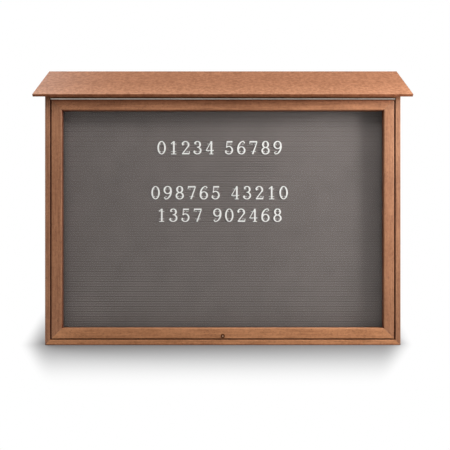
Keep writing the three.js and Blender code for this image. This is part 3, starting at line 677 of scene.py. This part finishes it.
# %% Give every CAD solid its material
finishes = {
    lumber_level: ["bottom_board", "top_board", "ridge_rail", "door_bottom_rail",
                   "glazing_strip_top", "glazing_strip_bottom"],
    lumber_eave: ["door_top_rail"],
    lumber_side: ["left_side_board", "right_side_board"],
    lumber_upright: ["door_left_stile", "door_right_stile", "glazing_strip_left",
                     "glazing_strip_right"],
    lumber_inside: ["top_door_stop", "bottom_door_stop_left", "bottom_door_stop_right",
                    "left_door_stop", "right_door_stop", "left_batten", "centre_batten",
                    "right_batten"],
    roof_lumber: ["roof_board"],
    panel_material: ["back_panel"],
    letter_felt: ["letter_board"],
    pane_acrylic: ["window_pane"],
    seal_foam: ["top_seal", "left_seal", "right_seal", "bottom_seal_left", "bottom_seal_right"],
    hinge_steel: ["hinge_case_leaf", "hinge_door_leaf", "hinge_pin"],
    bracket_zinc: ["left_case_bracket", "right_case_bracket", "left_door_bracket",
                   "right_door_bracket", "keeper_plate", "lock_cam", "cam_screw"],
    lock_casting: ["lock_housing"],
    plug_bronze_reflection: ["lock_plug"],
    nut_brass: ["lock_nut"],
    rod_chrome: ["left_strut_rod", "right_strut_rod"],
    tube_enamel: ["left_strut_tube", "right_strut_tube"],
}
for material, names in finishes.items():
    for name in names:
        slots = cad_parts[name].data.materials
        slots.clear()
        slots.append(material)
dressed = [name for names in finishes.values() for name in names]
print("Dressed", len(dressed), "of", len(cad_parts), "solids; left out:",
      sorted(set(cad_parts) - set(dressed)))

# %% [markdown]
# ## Foam seals
#
# A strip of closed-cell foam runs round the door stops, and the door presses on it. Foam is
# soft, so the square CAD strips are replaced: each new one is flat where it is glued and
# crowned towards the door, and its crown swells and sinks a little along its length.


# %% Make the foam strips
def foam_strip(node, axis):
    """A crowned strip in a node's box. Round the section, across = a sign(cos t) |cos t|^(1/2)
    and the crown is the positive half of b |sin t|^(1/2); along it, b varies by a slow wave."""
    low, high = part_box(node)
    long, wide = ("x", "z") if axis == "x" else ("z", "x")
    start, end = getattr(low, long), getattr(high, long)
    along = np.linspace(start, end, max(12, int((end - start) / 0.012)))[:, None]
    t = np.linspace(0, 2 * np.pi, 28, endpoint=False)[None, :]
    half = (getattr(high, wide) - getattr(low, wide)) / 2
    centre = (getattr(high, wide) + getattr(low, wide)) / 2
    across = centre + half * np.sign(np.cos(t)) * np.abs(np.cos(t)) ** 0.5 + 0 * along
    swell = 0.94 + 0.04 * np.sin(along * 61) + 0.02 * np.sin(along * 143)
    crown = np.where(np.sin(t) > 0, np.abs(np.sin(t)) ** 0.5, 0)
    depth = high.y - (high.y - low.y) * crown * swell
    axes = {long: along + 0 * t, wide: across, "y": depth}
    points = np.stack([axes["x"], axes["y"], axes["z"]], axis=-1)
    return points, grid_faces(len(along), t.size)


for node, axis in [("top_seal", "x"), ("left_seal", "z"), ("right_seal", "z"),
                   ("bottom_seal_left", "x"), ("bottom_seal_right", "x")]:
    strip = piece("foam_" + node, [foam_strip(node, axis)], "case", seal_foam,
                  smooth_below=70)
    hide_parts(node)

# %% [markdown]
# ## The rolled hinge
#
# A continuous hinge is two strips of steel. Knuckles are cut along their edges, rolled round
# one long pin, and interleaved. The section of a knuckle is the strip's own thickness following
# the strip and then the circle, so it is a path with an inner and an outer side. The CAD leaves
# have coarse knuckles, and these finer ones take their place, knuckle for knuckle.

# %% Measure the hinge
pin_low, pin_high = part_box("hinge_pin")
_, hinge_y, hinge_z = middle("hinge_pin")
leaf_low, leaf_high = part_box("hinge_case_leaf")
barrel = hinge_y - leaf_low.y
leaf_steel, knuckle, knuckle_gap = 0.0012, 0.0273, 0.0004
count = int((leaf_high.x - leaf_low.x + knuckle_gap) / (knuckle + knuckle_gap) + 0.01)
starts = leaf_low.x + np.arange(count) * (knuckle + knuckle_gap)
print(count, "knuckles of", knuckle * 1000, "mm on a barrel of radius", round(barrel * 1000, 2))


# %% Roll the leaves and turn the pin
def knuckle_section(face, steps=36):
    """The strip's middle line runs straight to the barrel and then round it for 330 degrees;
    the section lies half a thickness to both sides. Face is 1 for the upper leaf."""
    radius = barrel - leaf_steel / 2
    angle = np.radians(90 + np.linspace(0, 330, steps))
    line = np.stack([radius * np.cos(angle), radius * np.sin(angle)], axis=1)
    normal = line / radius
    line = np.concatenate([[[barrel + knuckle_gap, radius]], line])
    normal = np.concatenate([[[0, 1]], normal])
    side = normal * leaf_steel / 2
    section = np.concatenate([line + side, (line - side)[::-1]])
    return section * np.array([1, face]) + np.array([hinge_y, hinge_z])


def leaf(face, first):
    """The flat strip, and every second knuckle from the first."""
    inner, outer = hinge_z + face * (barrel - leaf_steel), hinge_z + face * barrel
    flat_start, flat_end = hinge_y + barrel + knuckle_gap, leaf_high.y
    strip = [(flat_start, inner), (flat_end, inner), (flat_end, outer), (flat_start, outer)]
    section = knuckle_section(face)
    return [bar(eased(strip, 0.0002), leaf_low.x, leaf_high.x)] + [
        bar(section, start, start + knuckle) for start in starts[first::2]]


upper = piece("hinge_leaf_upper", leaf(1, 0), "case", hinge_steel)
lower = piece("hinge_leaf_lower", leaf(-1, 1), "door", hinge_steel)
pin_radius, ease = (pin_high.z - pin_low.z) / 2, 0.0004
pin_ends = [(0, pin_low.x), (pin_radius * 0.8, pin_low.x), (pin_radius, pin_low.x + ease),
            (pin_radius, pin_high.x - ease), (pin_radius * 0.8, pin_high.x), (0, pin_high.x)]
pin = piece("hinge_pin_wire", [turned(pin_ends, 24, "x", (0, hinge_y, hinge_z))], "case",
            hinge_steel)
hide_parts("hinge_case_leaf")
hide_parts("hinge_door_leaf")
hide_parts("hinge_pin")

# %% [markdown]
# ## The cam lock
#
# The lock's barrel is threaded for its nut, and its flange sits on the rail. A thread is a
# turned surface whose radius also depends on the angle: it rises and falls with the place along
# the axis less the share of the turn, so the ridge climbs one pitch each time round. The plug's
# face is a polar grid that drops where the key goes in, and a bright sprung shutter closes the
# keyway against dust.

# %% Cut the thread and the keyway
housing_low, housing_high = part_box("lock_housing")
lock_z = middle("lock_housing")[2]
flange, body_radius, bore = housing_high.x, 0.006, 0.0042
seat = front_face - 0.0003


def threaded_housing(steps=64, pitch=0.001, depth=0.00022):
    """Flange, threaded barrel and bore as one closed sleeve. On the barrel the radius is
    r - depth |2 frac(y / pitch - t / 2 pi) - 1|."""
    t = np.linspace(0, 2 * np.pi, steps, endpoint=False)[None, :]
    start, end = seat, housing_high.y
    rim = [(bore, housing_low.y + 0.0003), (bore + 0.0003, housing_low.y),
           (flange - 0.0007, housing_low.y), (flange - 0.0002, housing_low.y + 0.0003),
           (flange, housing_low.y + 0.0008), (flange, seat)]
    barrel_y = np.linspace(start, end, int((end - start) / pitch * 4))[:, None]
    turn = np.mod((barrel_y - start) / pitch - t / (2 * np.pi), 1)
    ridge = body_radius - depth * np.abs(2 * turn - 1)
    rows = [np.full_like(t, radius) for radius, _ in rim] + list(ridge[:, None, :])
    places = [y for _, y in rim] + barrel_y[:, 0].tolist() + [end]
    rows.append(np.full_like(t, bore))
    radius, place = np.concatenate(rows), np.array(places)[:, None] + 0 * t
    points = np.stack([radius * np.cos(t), place, lock_z + radius * np.sin(t)], axis=-1)
    return points, grid_faces(len(points), steps, ring=True)


def plug_with_keyway(steps=144, rings=36, ease=0.0003, lip=0.00014):
    """The plug's face as a polar grid. Its depth is the product of two soft steps, one across
    the keyway and one up it, so the slot has rounded lips."""
    low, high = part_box("lock_plug")
    half_wide, half_tall, deep = 0.00062, 0.00257, 0.0024
    t = np.linspace(0, 2 * np.pi, steps, endpoint=False)[None, :]
    radius = np.linspace(0, high.x - ease, rings)[:, None]
    x, z = radius * np.cos(t), radius * np.sin(t)
    across = np.clip((half_wide - np.abs(x)) / lip, 0, 1)
    upward = np.clip((half_tall - np.abs(z)) / lip, 0, 1)
    face = low.y + deep * across * upward + 0 * t
    side = np.array([high.x, high.x, 0.0])[:, None] + 0 * t
    side_y = np.array([low.y + ease, high.y, high.y])[:, None] + 0 * t
    points = np.stack([np.concatenate([x, side * np.cos(t)]), np.concatenate([face, side_y]),
                       lock_z + np.concatenate([z, side * np.sin(t)])], axis=-1)
    return points, grid_faces(len(points), steps)


housing = piece("lock_barrel", [threaded_housing()], "door", lock_casting)
plug = piece("lock_key_plug", [plug_with_keyway()], "lock", plug_bronze_reflection)
shutter_y, reach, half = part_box("lock_plug")[0].y + 0.0005, 0.0023, 0.0005
shutter = bar(eased([(lock_z - reach, -half), (lock_z - reach, half), (lock_z + reach, half),
                     (lock_z + reach, -half)], 0.0001), shutter_y, shutter_y + 0.0015, "y")
piece("lock_dust_shutter", [shutter], "lock", plug_chrome)
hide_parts("lock_housing")
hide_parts("lock_plug")

# %% [markdown]
# ## Gas struts
#
# A gas strut is a plated rod that slides out of a sealed tube, with an eye at each end. The CAD
# ones are twelve-sided. These are turned with forty-eight sides, and have what the real ones
# show: a rolled groove and a domed nose where the rod leaves the tube, and collars at the eyes.

# %% Find the line of each strut
rod_low, tube_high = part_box("right_strut_rod")[0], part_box("right_strut_tube")[1]
eye_radius, eye_half, hole = 0.008, 0.005, 0.0044
strut_x = middle("right_strut_tube")[0]
foot = Vector((strut_x, rod_low.y + eye_radius, rod_low.z + eye_radius))
head = Vector((strut_x, tube_high.y - eye_radius, tube_high.z - eye_radius))
print("Strut from", [round(v, 4) for v in foot], "to", [round(v, 4) for v in head])


# %% Turn the rods and the tubes
def eye_ring(place):
    """A ring with eased edges, turned about X at a place up the strut."""
    section = eased([(hole, -eye_half), (eye_radius, -eye_half), (eye_radius, eye_half),
                     (hole, eye_half)], 0.0007)
    return turned(section, 40, "x", (0, 0, place), ring=True)


def on_strut(parts, side):
    """Stands the parts on the line of the strut: their Z runs from foot to head."""
    line = (head - foot).normalized()
    turn = Vector((0, 0, 1)).rotation_difference(line).to_matrix().to_4x4()
    place = Matrix.Translation((side * foot.x, foot.y, foot.z)) @ turn
    return [moved for part in parts for moved in copies(part, [np.array(place)])]


# Each profile is (radius, place up the strut), in metres.
length = (head - foot).length
rod_profile = [(0, 0.0052), (0.0040, 0.0052), (0.0046, 0.0062), (0.0046, 0.0140),
               (0.0056, 0.0145), (0.0056, 0.0170), (0.0046, 0.0175), (0.0040, 0.0240),
               (0.0040, length - 0.0320), (0, length - 0.0320)]
tube_profile = [(0, length - 0.0316), (0.0044, length - 0.0316), (0.0044, 0.0400),
                (0.0066, 0.0400), (0.0082, 0.0406), (0.0090, 0.0420), (0.0090, 0.0490),
                (0.0081, 0.0500), (0.0081, 0.0508), (0.0090, 0.0518),
                (0.0090, length - 0.0200), (0.0086, length - 0.0170), (0.0072, length - 0.0140),
                (0.0052, length - 0.0125), (0.0046, length - 0.0115), (0.0046, length - 0.0060),
                (0.0040, length - 0.0052), (0, length - 0.0052)]
for label, side in (("left", -1), ("right", 1)):
    rod_parts = on_strut([turned(rod_profile), eye_ring(0)], side)
    tube_parts = on_strut([turned(tube_profile), eye_ring(length)], side)
    rod = piece(f"{label}_gas_rod", rod_parts, f"{label}_rod", rod_chrome)
    tube = piece(f"{label}_gas_tube", tube_parts, f"{label}_tube", tube_enamel)
    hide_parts(f"{label}_strut_rod")
    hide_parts(f"{label}_strut_tube")

# %% [markdown]
# ## Screws
#
# The screws hold the hinge, the brackets and the keeper. A head is a low dome with a cross
# sunk in it: the height of a polar grid is the dome less a soft step wherever the point is
# close to either arm of the cross. It is made once, and copied to each place, facing outwards.


# %% Make one screw head and drive them all
def screw_head(radius, rise, steps=24, rings=7):
    """Height = rise (1 - (r / R)^2) less a cross of soft steps, closed below at zero."""
    t = np.linspace(0, 2 * np.pi, steps, endpoint=False)[None, :]
    out = np.linspace(0, 1, rings)[:, None]
    x, y = radius * out * np.cos(t), radius * out * np.sin(t)
    arm = np.minimum(np.abs(x), np.abs(y)) / radius
    inside = np.clip((0.62 - out) / 0.16, 0, 1)
    cross = np.clip((0.20 - arm) / 0.10, 0, 1) * inside
    height = rise * (1 - out**2) - rise * 0.9 * cross
    points = np.stack([x, y, height + rise * 0.15], axis=-1)
    flat = np.stack([x[-1:], y[-1:], np.zeros((1, steps))], axis=-1)
    return np.concatenate([points, flat]), grid_faces(rings + 1, steps)


def facing(direction, places):
    """Matrices that turn +Z to the direction and move to each place."""
    turn = Vector((0, 0, 1)).rotation_difference(Vector(direction)).to_matrix().to_4x4()
    return [np.array(Matrix.Translation(place) @ turn) for place in places]


def screws(name, body, radius, rise, groups):
    """One object from groups of (direction, places)."""
    one_head = screw_head(radius, rise)
    parts = [part for direction, places in groups
             for part in copies(one_head, facing(direction, places))]
    piece(name, parts, body, screw_zinc, smooth_below=50)


along_hinge = np.linspace(leaf_low.x + 0.03, leaf_high.x - 0.03, 9)
leaf_middle = (hinge_y + barrel + leaf_high.y) / 2
for body, face in (("case", 1), ("door", -1)):
    inner = hinge_z + face * (barrel - leaf_steel)
    screws("hinge_screws_" + body, body, 0.0034, 0.0006,
           [((0, 0, -face), [(x, leaf_middle, inner) for x in along_hinge])])

# %% Screws of the brackets and the keeper
# How thick the plates are, and how far the screws stand from an edge, a middle or a stud.
plate, keeper_plate, from_edge, from_middle = 0.003, 0.002, 0.0055, 0.011
beside_stud, above_stud, round_disc = 0.0098, 0.0122, 0.0092
keeper_low, keeper_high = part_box("keeper_plate")
keeper_places = [(x, keeper_high.y - from_edge, keeper_low.z + keeper_plate)
                 for x in (-from_middle, from_middle)]
screws("keeper_screws", "case", 0.0032, 0.0010, [((0, 0, 1), keeper_places)])

bracket_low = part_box("right_door_bracket")[0]
door_places = [(side * (bracket_low.x + beside_stud), bracket_low.y + plate, foot.z + up)
               for side in (-1, 1) for up in (-above_stud, above_stud)]
screws("door_bracket_screws", "door", 0.0026, 0.0009, [((0, 1, 0), door_places)])

_, disc_y, disc_z = middle("right_case_bracket")
disc_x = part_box("right_case_bracket")[1].x - plate
round_stud = [(round_disc * np.cos(a), round_disc * np.sin(a))
              for a in np.radians([90, 210, 330])]
screws("case_bracket_screws", "case", 0.0024, 0.0009,
       [((-side, 0, 0), [(side * disc_x, disc_y + y, disc_z + z) for y, z in round_stud])
        for side in (-1, 1)])

# %% [markdown]
# ## Brads in the glazing strips
#
# The strips that hold the pane are pinned from behind with small brads, every fifteen
# centimetres or so. They show when the door is lifted.

# %% Drive the brads
strip_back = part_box("glazing_strip_left")[1].y
left_x, low_z, high_z = (middle("glazing_strip_left")[0], middle("glazing_strip_bottom")[2],
                         middle("glazing_strip_top")[2])
inset, off_middle = 0.05, 0.001
across_x = np.linspace(left_x + inset, -left_x - inset, 9)
up_z = np.linspace(low_z + inset, high_z - inset, 7)
brad_places = [(x, strip_back, z) for x in across_x
               for z in (low_z - off_middle, high_z + off_middle)]
brad_places += [(side * (left_x - off_middle), strip_back, z) for z in up_z for side in (1, -1)]
screws("glazing_brads", "door", 0.0011, 0.00018, [((0, 1, 0), brad_places)])

# %% [markdown]
# ## Push-in numerals
#
# Characters for a letter board are moulded in white plastic, two inches tall, with a pair of
# thin tabs behind them that push into the grooves. Plain numerals stand here in three rows. Each
# is drawn with strokes: a middle line, and a half width that swells in the uprights and thins in
# the level parts, as on a roman numeral. The sides taper to the front, as a mould needs.

# %% Strokes of a numeral
# In shares of the height: the half widths of a stroke, and the width of a numeral.
THICK, THIN, WIDE = 0.064, 0.034, 0.64


def bowl(x, y, wide, tall, start, end, steps=34):
    """An arc of an ellipse. The half width is thin + (thick - thin) |cos t|^1.5."""
    ring = abs(end - start) >= 360
    t = np.radians(np.linspace(start, end, steps, endpoint=not ring))
    line = np.stack([x + wide * np.cos(t), y + tall * np.sin(t)], axis=1)
    return line, THIN + (THICK - THIN) * np.abs(np.cos(t)) ** 1.5, ring


def stroke(start, end, half=THICK, end_half=None):
    """A straight stroke from start to end."""
    return np.linspace(start, end, 3), np.linspace(half, end_half or half, 3), False


def ball(x, y, radius=0.062):
    """A round end: along its middle line the half width is sqrt(r^2 - d^2)."""
    d = radius * np.cos(np.linspace(np.pi, 0, 15))
    half = np.sqrt(np.maximum(radius**2 - d**2, 1e-10))
    return np.stack([x + d, y + 0 * d], axis=1), half, False


NUMERALS = {
    "0": [bowl(0.32, 0.5, 0.255, 0.465, 0, 360, 48)],
    "1": [stroke((0.33, 0.02), (0.33, 0.98)), stroke((0.14, 0.03), (0.52, 0.03), 0.03),
          stroke((0.12, 0.80), (0.33, 0.95), 0.03, 0.045)],
    "2": [bowl(0.30, 0.715, 0.235, 0.25, 172, -28),
          stroke((0.515, 0.62), (0.10, 0.09), 0.05, 0.03),
          stroke((0.05, 0.055), (0.60, 0.055), 0.055),
          stroke((0.575, 0.03), (0.60, 0.24), 0.027), ball(0.105, 0.73)],
    "3": [bowl(0.29, 0.75, 0.205, 0.215, 160, -100), bowl(0.28, 0.285, 0.26, 0.25, 95, -165),
          ball(0.12, 0.80, 0.055), ball(0.075, 0.23)],
    "4": [stroke((0.42, 0.97), (0.05, 0.31), 0.03), stroke((0.02, 0.295), (0.62, 0.295), 0.032),
          stroke((0.43, 0.02), (0.43, 0.98)), stroke((0.28, 0.03), (0.58, 0.03), 0.03)],
    "5": [stroke((0.13, 0.94), (0.56, 0.94), 0.055), stroke((0.145, 0.96), (0.12, 0.53), 0.028),
          bowl(0.28, 0.315, 0.265, 0.285, 135, -160), ball(0.07, 0.245)],
    "6": [bowl(0.32, 0.30, 0.245, 0.27, 0, 360, 44), bowl(0.47, 0.40, 0.40, 0.57, 82, 195),
          ball(0.535, 0.885, 0.055)],
    "7": [stroke((0.04, 0.94), (0.60, 0.94), 0.055), stroke((0.06, 0.97), (0.04, 0.77), 0.027),
          stroke((0.585, 0.92), (0.26, 0.02), 0.035, 0.06)],
    "8": [bowl(0.32, 0.745, 0.20, 0.225, 0, 360, 40), bowl(0.32, 0.27, 0.25, 0.24, 0, 360, 44)],
}
NUMERALS["9"] = [(np.array([WIDE, 1.0]) - line, half, ring)
                 for line, half, ring in NUMERALS["6"]]
print("Numerals drawn:", "".join(sorted(NUMERALS)))


# %% From strokes to a moulded numeral
TALL = 0.0508
TAB_HEIGHTS, TAB_SHIFT = (0.0111125, 0.0396875), 0.0062


def ribbon(line, half, ring, thickness=0.003, taper=0.88):
    """Carries a four-cornered section along the line: the sides lie half a width to its left
    and right, full at the back and tapered at the front. Depth runs from 0 to -thickness."""
    if ring:
        slope = np.roll(line, -1, axis=0) - np.roll(line, 1, axis=0)
    else:
        slope = np.gradient(line, axis=0)
    side = np.stack([-slope[:, 1], slope[:, 0]], axis=1)
    side = side / np.maximum(np.linalg.norm(side, axis=1, keepdims=True), 1e-9) * half[:, None]
    corners = [line + side, line + side * taper, line - side * taper, line - side]
    depth = np.array([0, -thickness, -thickness, 0])[None, :] + 0 * half[:, None]
    flat = np.stack(corners, axis=1) * TALL
    points = np.stack([flat[..., 0], depth, flat[..., 1]], axis=-1)
    return points, grid_faces(len(line), 4, ring)


def tab(x, z, half_wide=0.004, half_thick=0.0006, depth=0.0026):
    """A thin tab behind the numeral, level, so that it slides into a groove."""
    section = [(z - half_thick, x - half_wide), (z - half_thick, x + half_wide),
               (z + half_thick, x + half_wide), (z + half_thick, x - half_wide)]
    return bar(section, -0.0004, depth, "y")


def moulded(name, strokes):
    """Joins the strokes and tabs with the Boolean modifier, so that no wall is left inside."""
    centre = WIDE / 2 * TALL
    parts = [ribbon(*one) for one in strokes]
    parts += [tab(centre + shift, z) for z in TAB_HEIGHTS for shift in (-TAB_SHIFT, TAB_SHIFT)]
    others = bpy.data.collections.new(name + "_strokes")
    made = [bpy.data.objects.new(f"{name}_{i}", solid(f"{name}_{i}", [part]))
            for i, part in enumerate(parts)]
    bpy.context.scene.collection.objects.link(made[0])
    for other in made[1:]:
        others.objects.link(other)
    joiner = made[0].modifiers.new("join", "BOOLEAN")
    joiner.operation, joiner.operand_type, joiner.solver = "UNION", "COLLECTION", "EXACT"
    joiner.collection = others
    joined = made[0].evaluated_get(bpy.context.evaluated_depsgraph_get()).to_mesh()
    points = np.empty(3 * len(joined.vertices), np.float32)
    joined.vertices.foreach_get("co", points)
    faces = [list(face.vertices) for face in joined.polygons]
    for one in made:
        bpy.data.objects.remove(one)
    bpy.data.collections.remove(others)
    return points, faces


shapes = {digit: moulded("numeral_" + digit, strokes) for digit, strokes in NUMERALS.items()}
print({digit: len(faces) for digit, (_, faces) in shapes.items()})

# %% [markdown]
# ## Setting the rows
#
# The grooves are three eighths of an inch apart, and the two tabs behind a numeral stand three
# grooves apart, so a row can only hang where its tabs meet grooves. The row heights are therefore
# counted in grooves, from the topmost down to the one that holds the upper tabs.

# %% Set three rows of numerals
board_low, board_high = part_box("letter_board")
groove = 0.009525
groove_count = int((board_high.z - board_low.z) / groove) - 1
top_groove = middle("letter_board")[2] + (groove_count - 1) * groove / 2
advance, space, centre_x, off_felt = 0.046, 0.028, -0.0125, 0.0001


def row(name, text, groove_number):
    """Sets a text of numerals side by side, with their upper tabs in that groove."""
    foot_z = top_groove - groove_number * groove - TAB_HEIGHTS[1]
    steps = np.cumsum([0] + [space if one == " " else advance for one in text])
    start = centre_x - (steps[-1] - advance + WIDE * TALL) / 2
    parts = []
    for digit, shift in zip(text, steps):
        if digit != " ":
            place = Matrix.Translation((start + shift, board_low.y - off_felt, foot_z))
            parts += copies(shapes[digit], [np.array(place)])
    piece(name, parts, "case", numeral_plastic, 30)


row("numerals_upper", "01234 56789", 16)
row("numerals_middle", "098765 43210", 34)
row("numerals_lower", "1357 902468", 43)

# %% [markdown]
# ## Floor, light and background
#
# The board stands on a plain white floor. Close to the board the floor is a matt surface with a
# painted shadow on it; further out it turns into even white, so that it meets the white
# background with no horizon. The painted shadow depends on a distance: metres ahead of the front,
# or half of those behind it, plus five times the metres past either end of the shadow, which
# draws in further out. Both parts start softly, so that no crease shows. Ambient occlusion paints
# more shade right under and beside the case. Inside the painted shadow the matt floor also takes
# the lamps' real shadows, on a darker colour than the one it bounces. What the camera, a
# reflection or the pane sees as white doesn't light the board: that is left to the lamps.

# %% Lay the floor
half_side, floor_z = 9.0, -0.0004
floor_mesh = bpy.data.meshes.new("floor")
floor_mesh.from_pydata([(x * half_side, y * half_side, floor_z)
                        for x, y in ((-1, -1), (1, -1), (1, 1), (-1, 1))], [], [(0, 1, 2, 3)])
floor = bpy.data.objects.new("floor", floor_mesh)
bpy.context.scene.collection.objects.link(floor)
print("Floor laid at", floor_z)


# %% Paint the floor's shadow
def seen_white(tree):
    """1 for a ray from the camera, off a gloss or through the pane, and 0 for any other."""
    ray = add(tree, "LightPath").outputs
    through = calc(tree, "MAXIMUM", ray["Is Glossy Ray"], ray["Is Transmission Ray"])
    return calc(tree, "MAXIMUM", ray["Is Camera Ray"], through)


floor_white = bpy.data.materials.new("floor_white")
floor_white.use_nodes = True
floor_mesh.materials.append(floor_white)
tree = floor_white.node_tree
tree.nodes.clear()
seen = seen_white(tree)
spot = apart(tree, add(tree, "NewGeometry").outputs["Position"])
shadow_x, half_wide, draws_in, sideways, backwards = -0.023, 0.643, 0.36, 5.0, -0.5
front_softness, end_softness = 0.06, 0.05
darkest, faded, covered, open_sky = -0.115, 0.47, 0.1, 0.84
# Painted shadow: a distance from the case's front and ends, not a lamp, sets where the floor
# darkens.
ahead = calc(tree, "SUBTRACT", front_face, spot["Y"])
from_middle = calc(tree, "ABSOLUTE", calc(tree, "SUBTRACT", spot["X"], shadow_x))
past_end = calc(tree, "SUBTRACT", calc(tree, "MULTIPLY_ADD", ahead, draws_in, from_middle),
                half_wide)
past_end = calc(tree, "SMOOTH_MAX", past_end, 0.0, end_softness)
behind = calc(tree, "MULTIPLY", ahead, backwards)
along_front = calc(tree, "SMOOTH_MAX", ahead, behind, front_softness)
painted_shadow_reach = calc(tree, "MULTIPLY_ADD", past_end, sideways, along_front)
# Painted contact shade right under and beside the case.
close = add(tree, "AmbientOcclusion", {"Distance": 0.10}, samples=16).outputs["AO"]
outside_painted_shadow = calc(tree, "MULTIPLY", window(tree, painted_shadow_reach, darkest, faded),
           window(tree, close, covered, open_sky))
# The camera sees the matt floor darker than the floor bounces light, which deepens the painted
# shadow.
unseen_tone, painted_shadow_tone = (0.55, 0.55, 0.55, 1), (0.20, 0.20, 0.205, 1)
shade = blend(tree, seen, unseen_tone, painted_shadow_tone)
matt = add(tree, "BsdfDiffuse", {"Color": shade}).outputs[0]
white = add(tree, "Emission", {"Color": (1, 1, 1, 1), "Strength": 1.0}).outputs[0]
mixed = add(tree, "MixShader", {0: calc(tree, "MULTIPLY", outside_painted_shadow, seen), 1: matt, 2: white})
tree.links.new(mixed.outputs[0], add(tree, "OutputMaterial").inputs["Surface"])
print("Floor shaded with", len(tree.nodes), "nodes")

# %% [markdown]
# ## Lamps
#
# In the photograph the right stile is twice as bright as the left one, and yet the recessed
# letter board is even. Light that grazes the door from the right does that. A broad lamp high in
# front puts the soft shadow of the eave on the top rail, and one high behind on the left lights
# the roof. The world adds a little light from everywhere.


# %% Hang the lamps
def lamp(name, place, target, width, height, power):
    """A soft rectangular lamp at a place, turned to a target, that no camera sees."""
    light = bpy.data.lights.new(name, "AREA")
    light.shape, light.size, light.size_y = "RECTANGLE", width, height
    light.energy = power
    hung = bpy.data.objects.new(name, light)
    bpy.context.scene.collection.objects.link(hung)
    hung.location = place
    aim = Vector(target) - Vector(place)
    hung.rotation_euler = aim.to_track_quat("-Z", "Y").to_euler()
    hung.visible_camera = False


lamp("side_lamp", (1.5, -0.5, 0.95), (0.3, 0, 0.6), 0.5, 0.5, 22.5)
lamp("front_lamp", (0, -1.7, 2.7), (0, 0, 0.5), 2.4, 1.2, 40)
lamp("back_lamp", (-2.0, 1.2, 2.4), (0, 0, 0.5), 1.4, 1.2, 66)

# %% Light the world
world = bpy.data.worlds.new("studio")
bpy.context.scene.world = world
world.use_nodes = True
tree = world.node_tree
tree.nodes.clear()
on_board, as_seen = 0.28, 1.0
strength = calc(tree, "MULTIPLY_ADD", seen_white(tree), as_seen - on_board, on_board)
background = add(tree, "Background", {"Color": (1, 1, 1, 1), "Strength": strength})
tree.links.new(background.outputs[0], add(tree, "OutputWorld").inputs["Surface"])
bpy.context.scene.view_settings.view_transform = "Standard"
print("World strength on the board", on_board, "and as seen", as_seen)
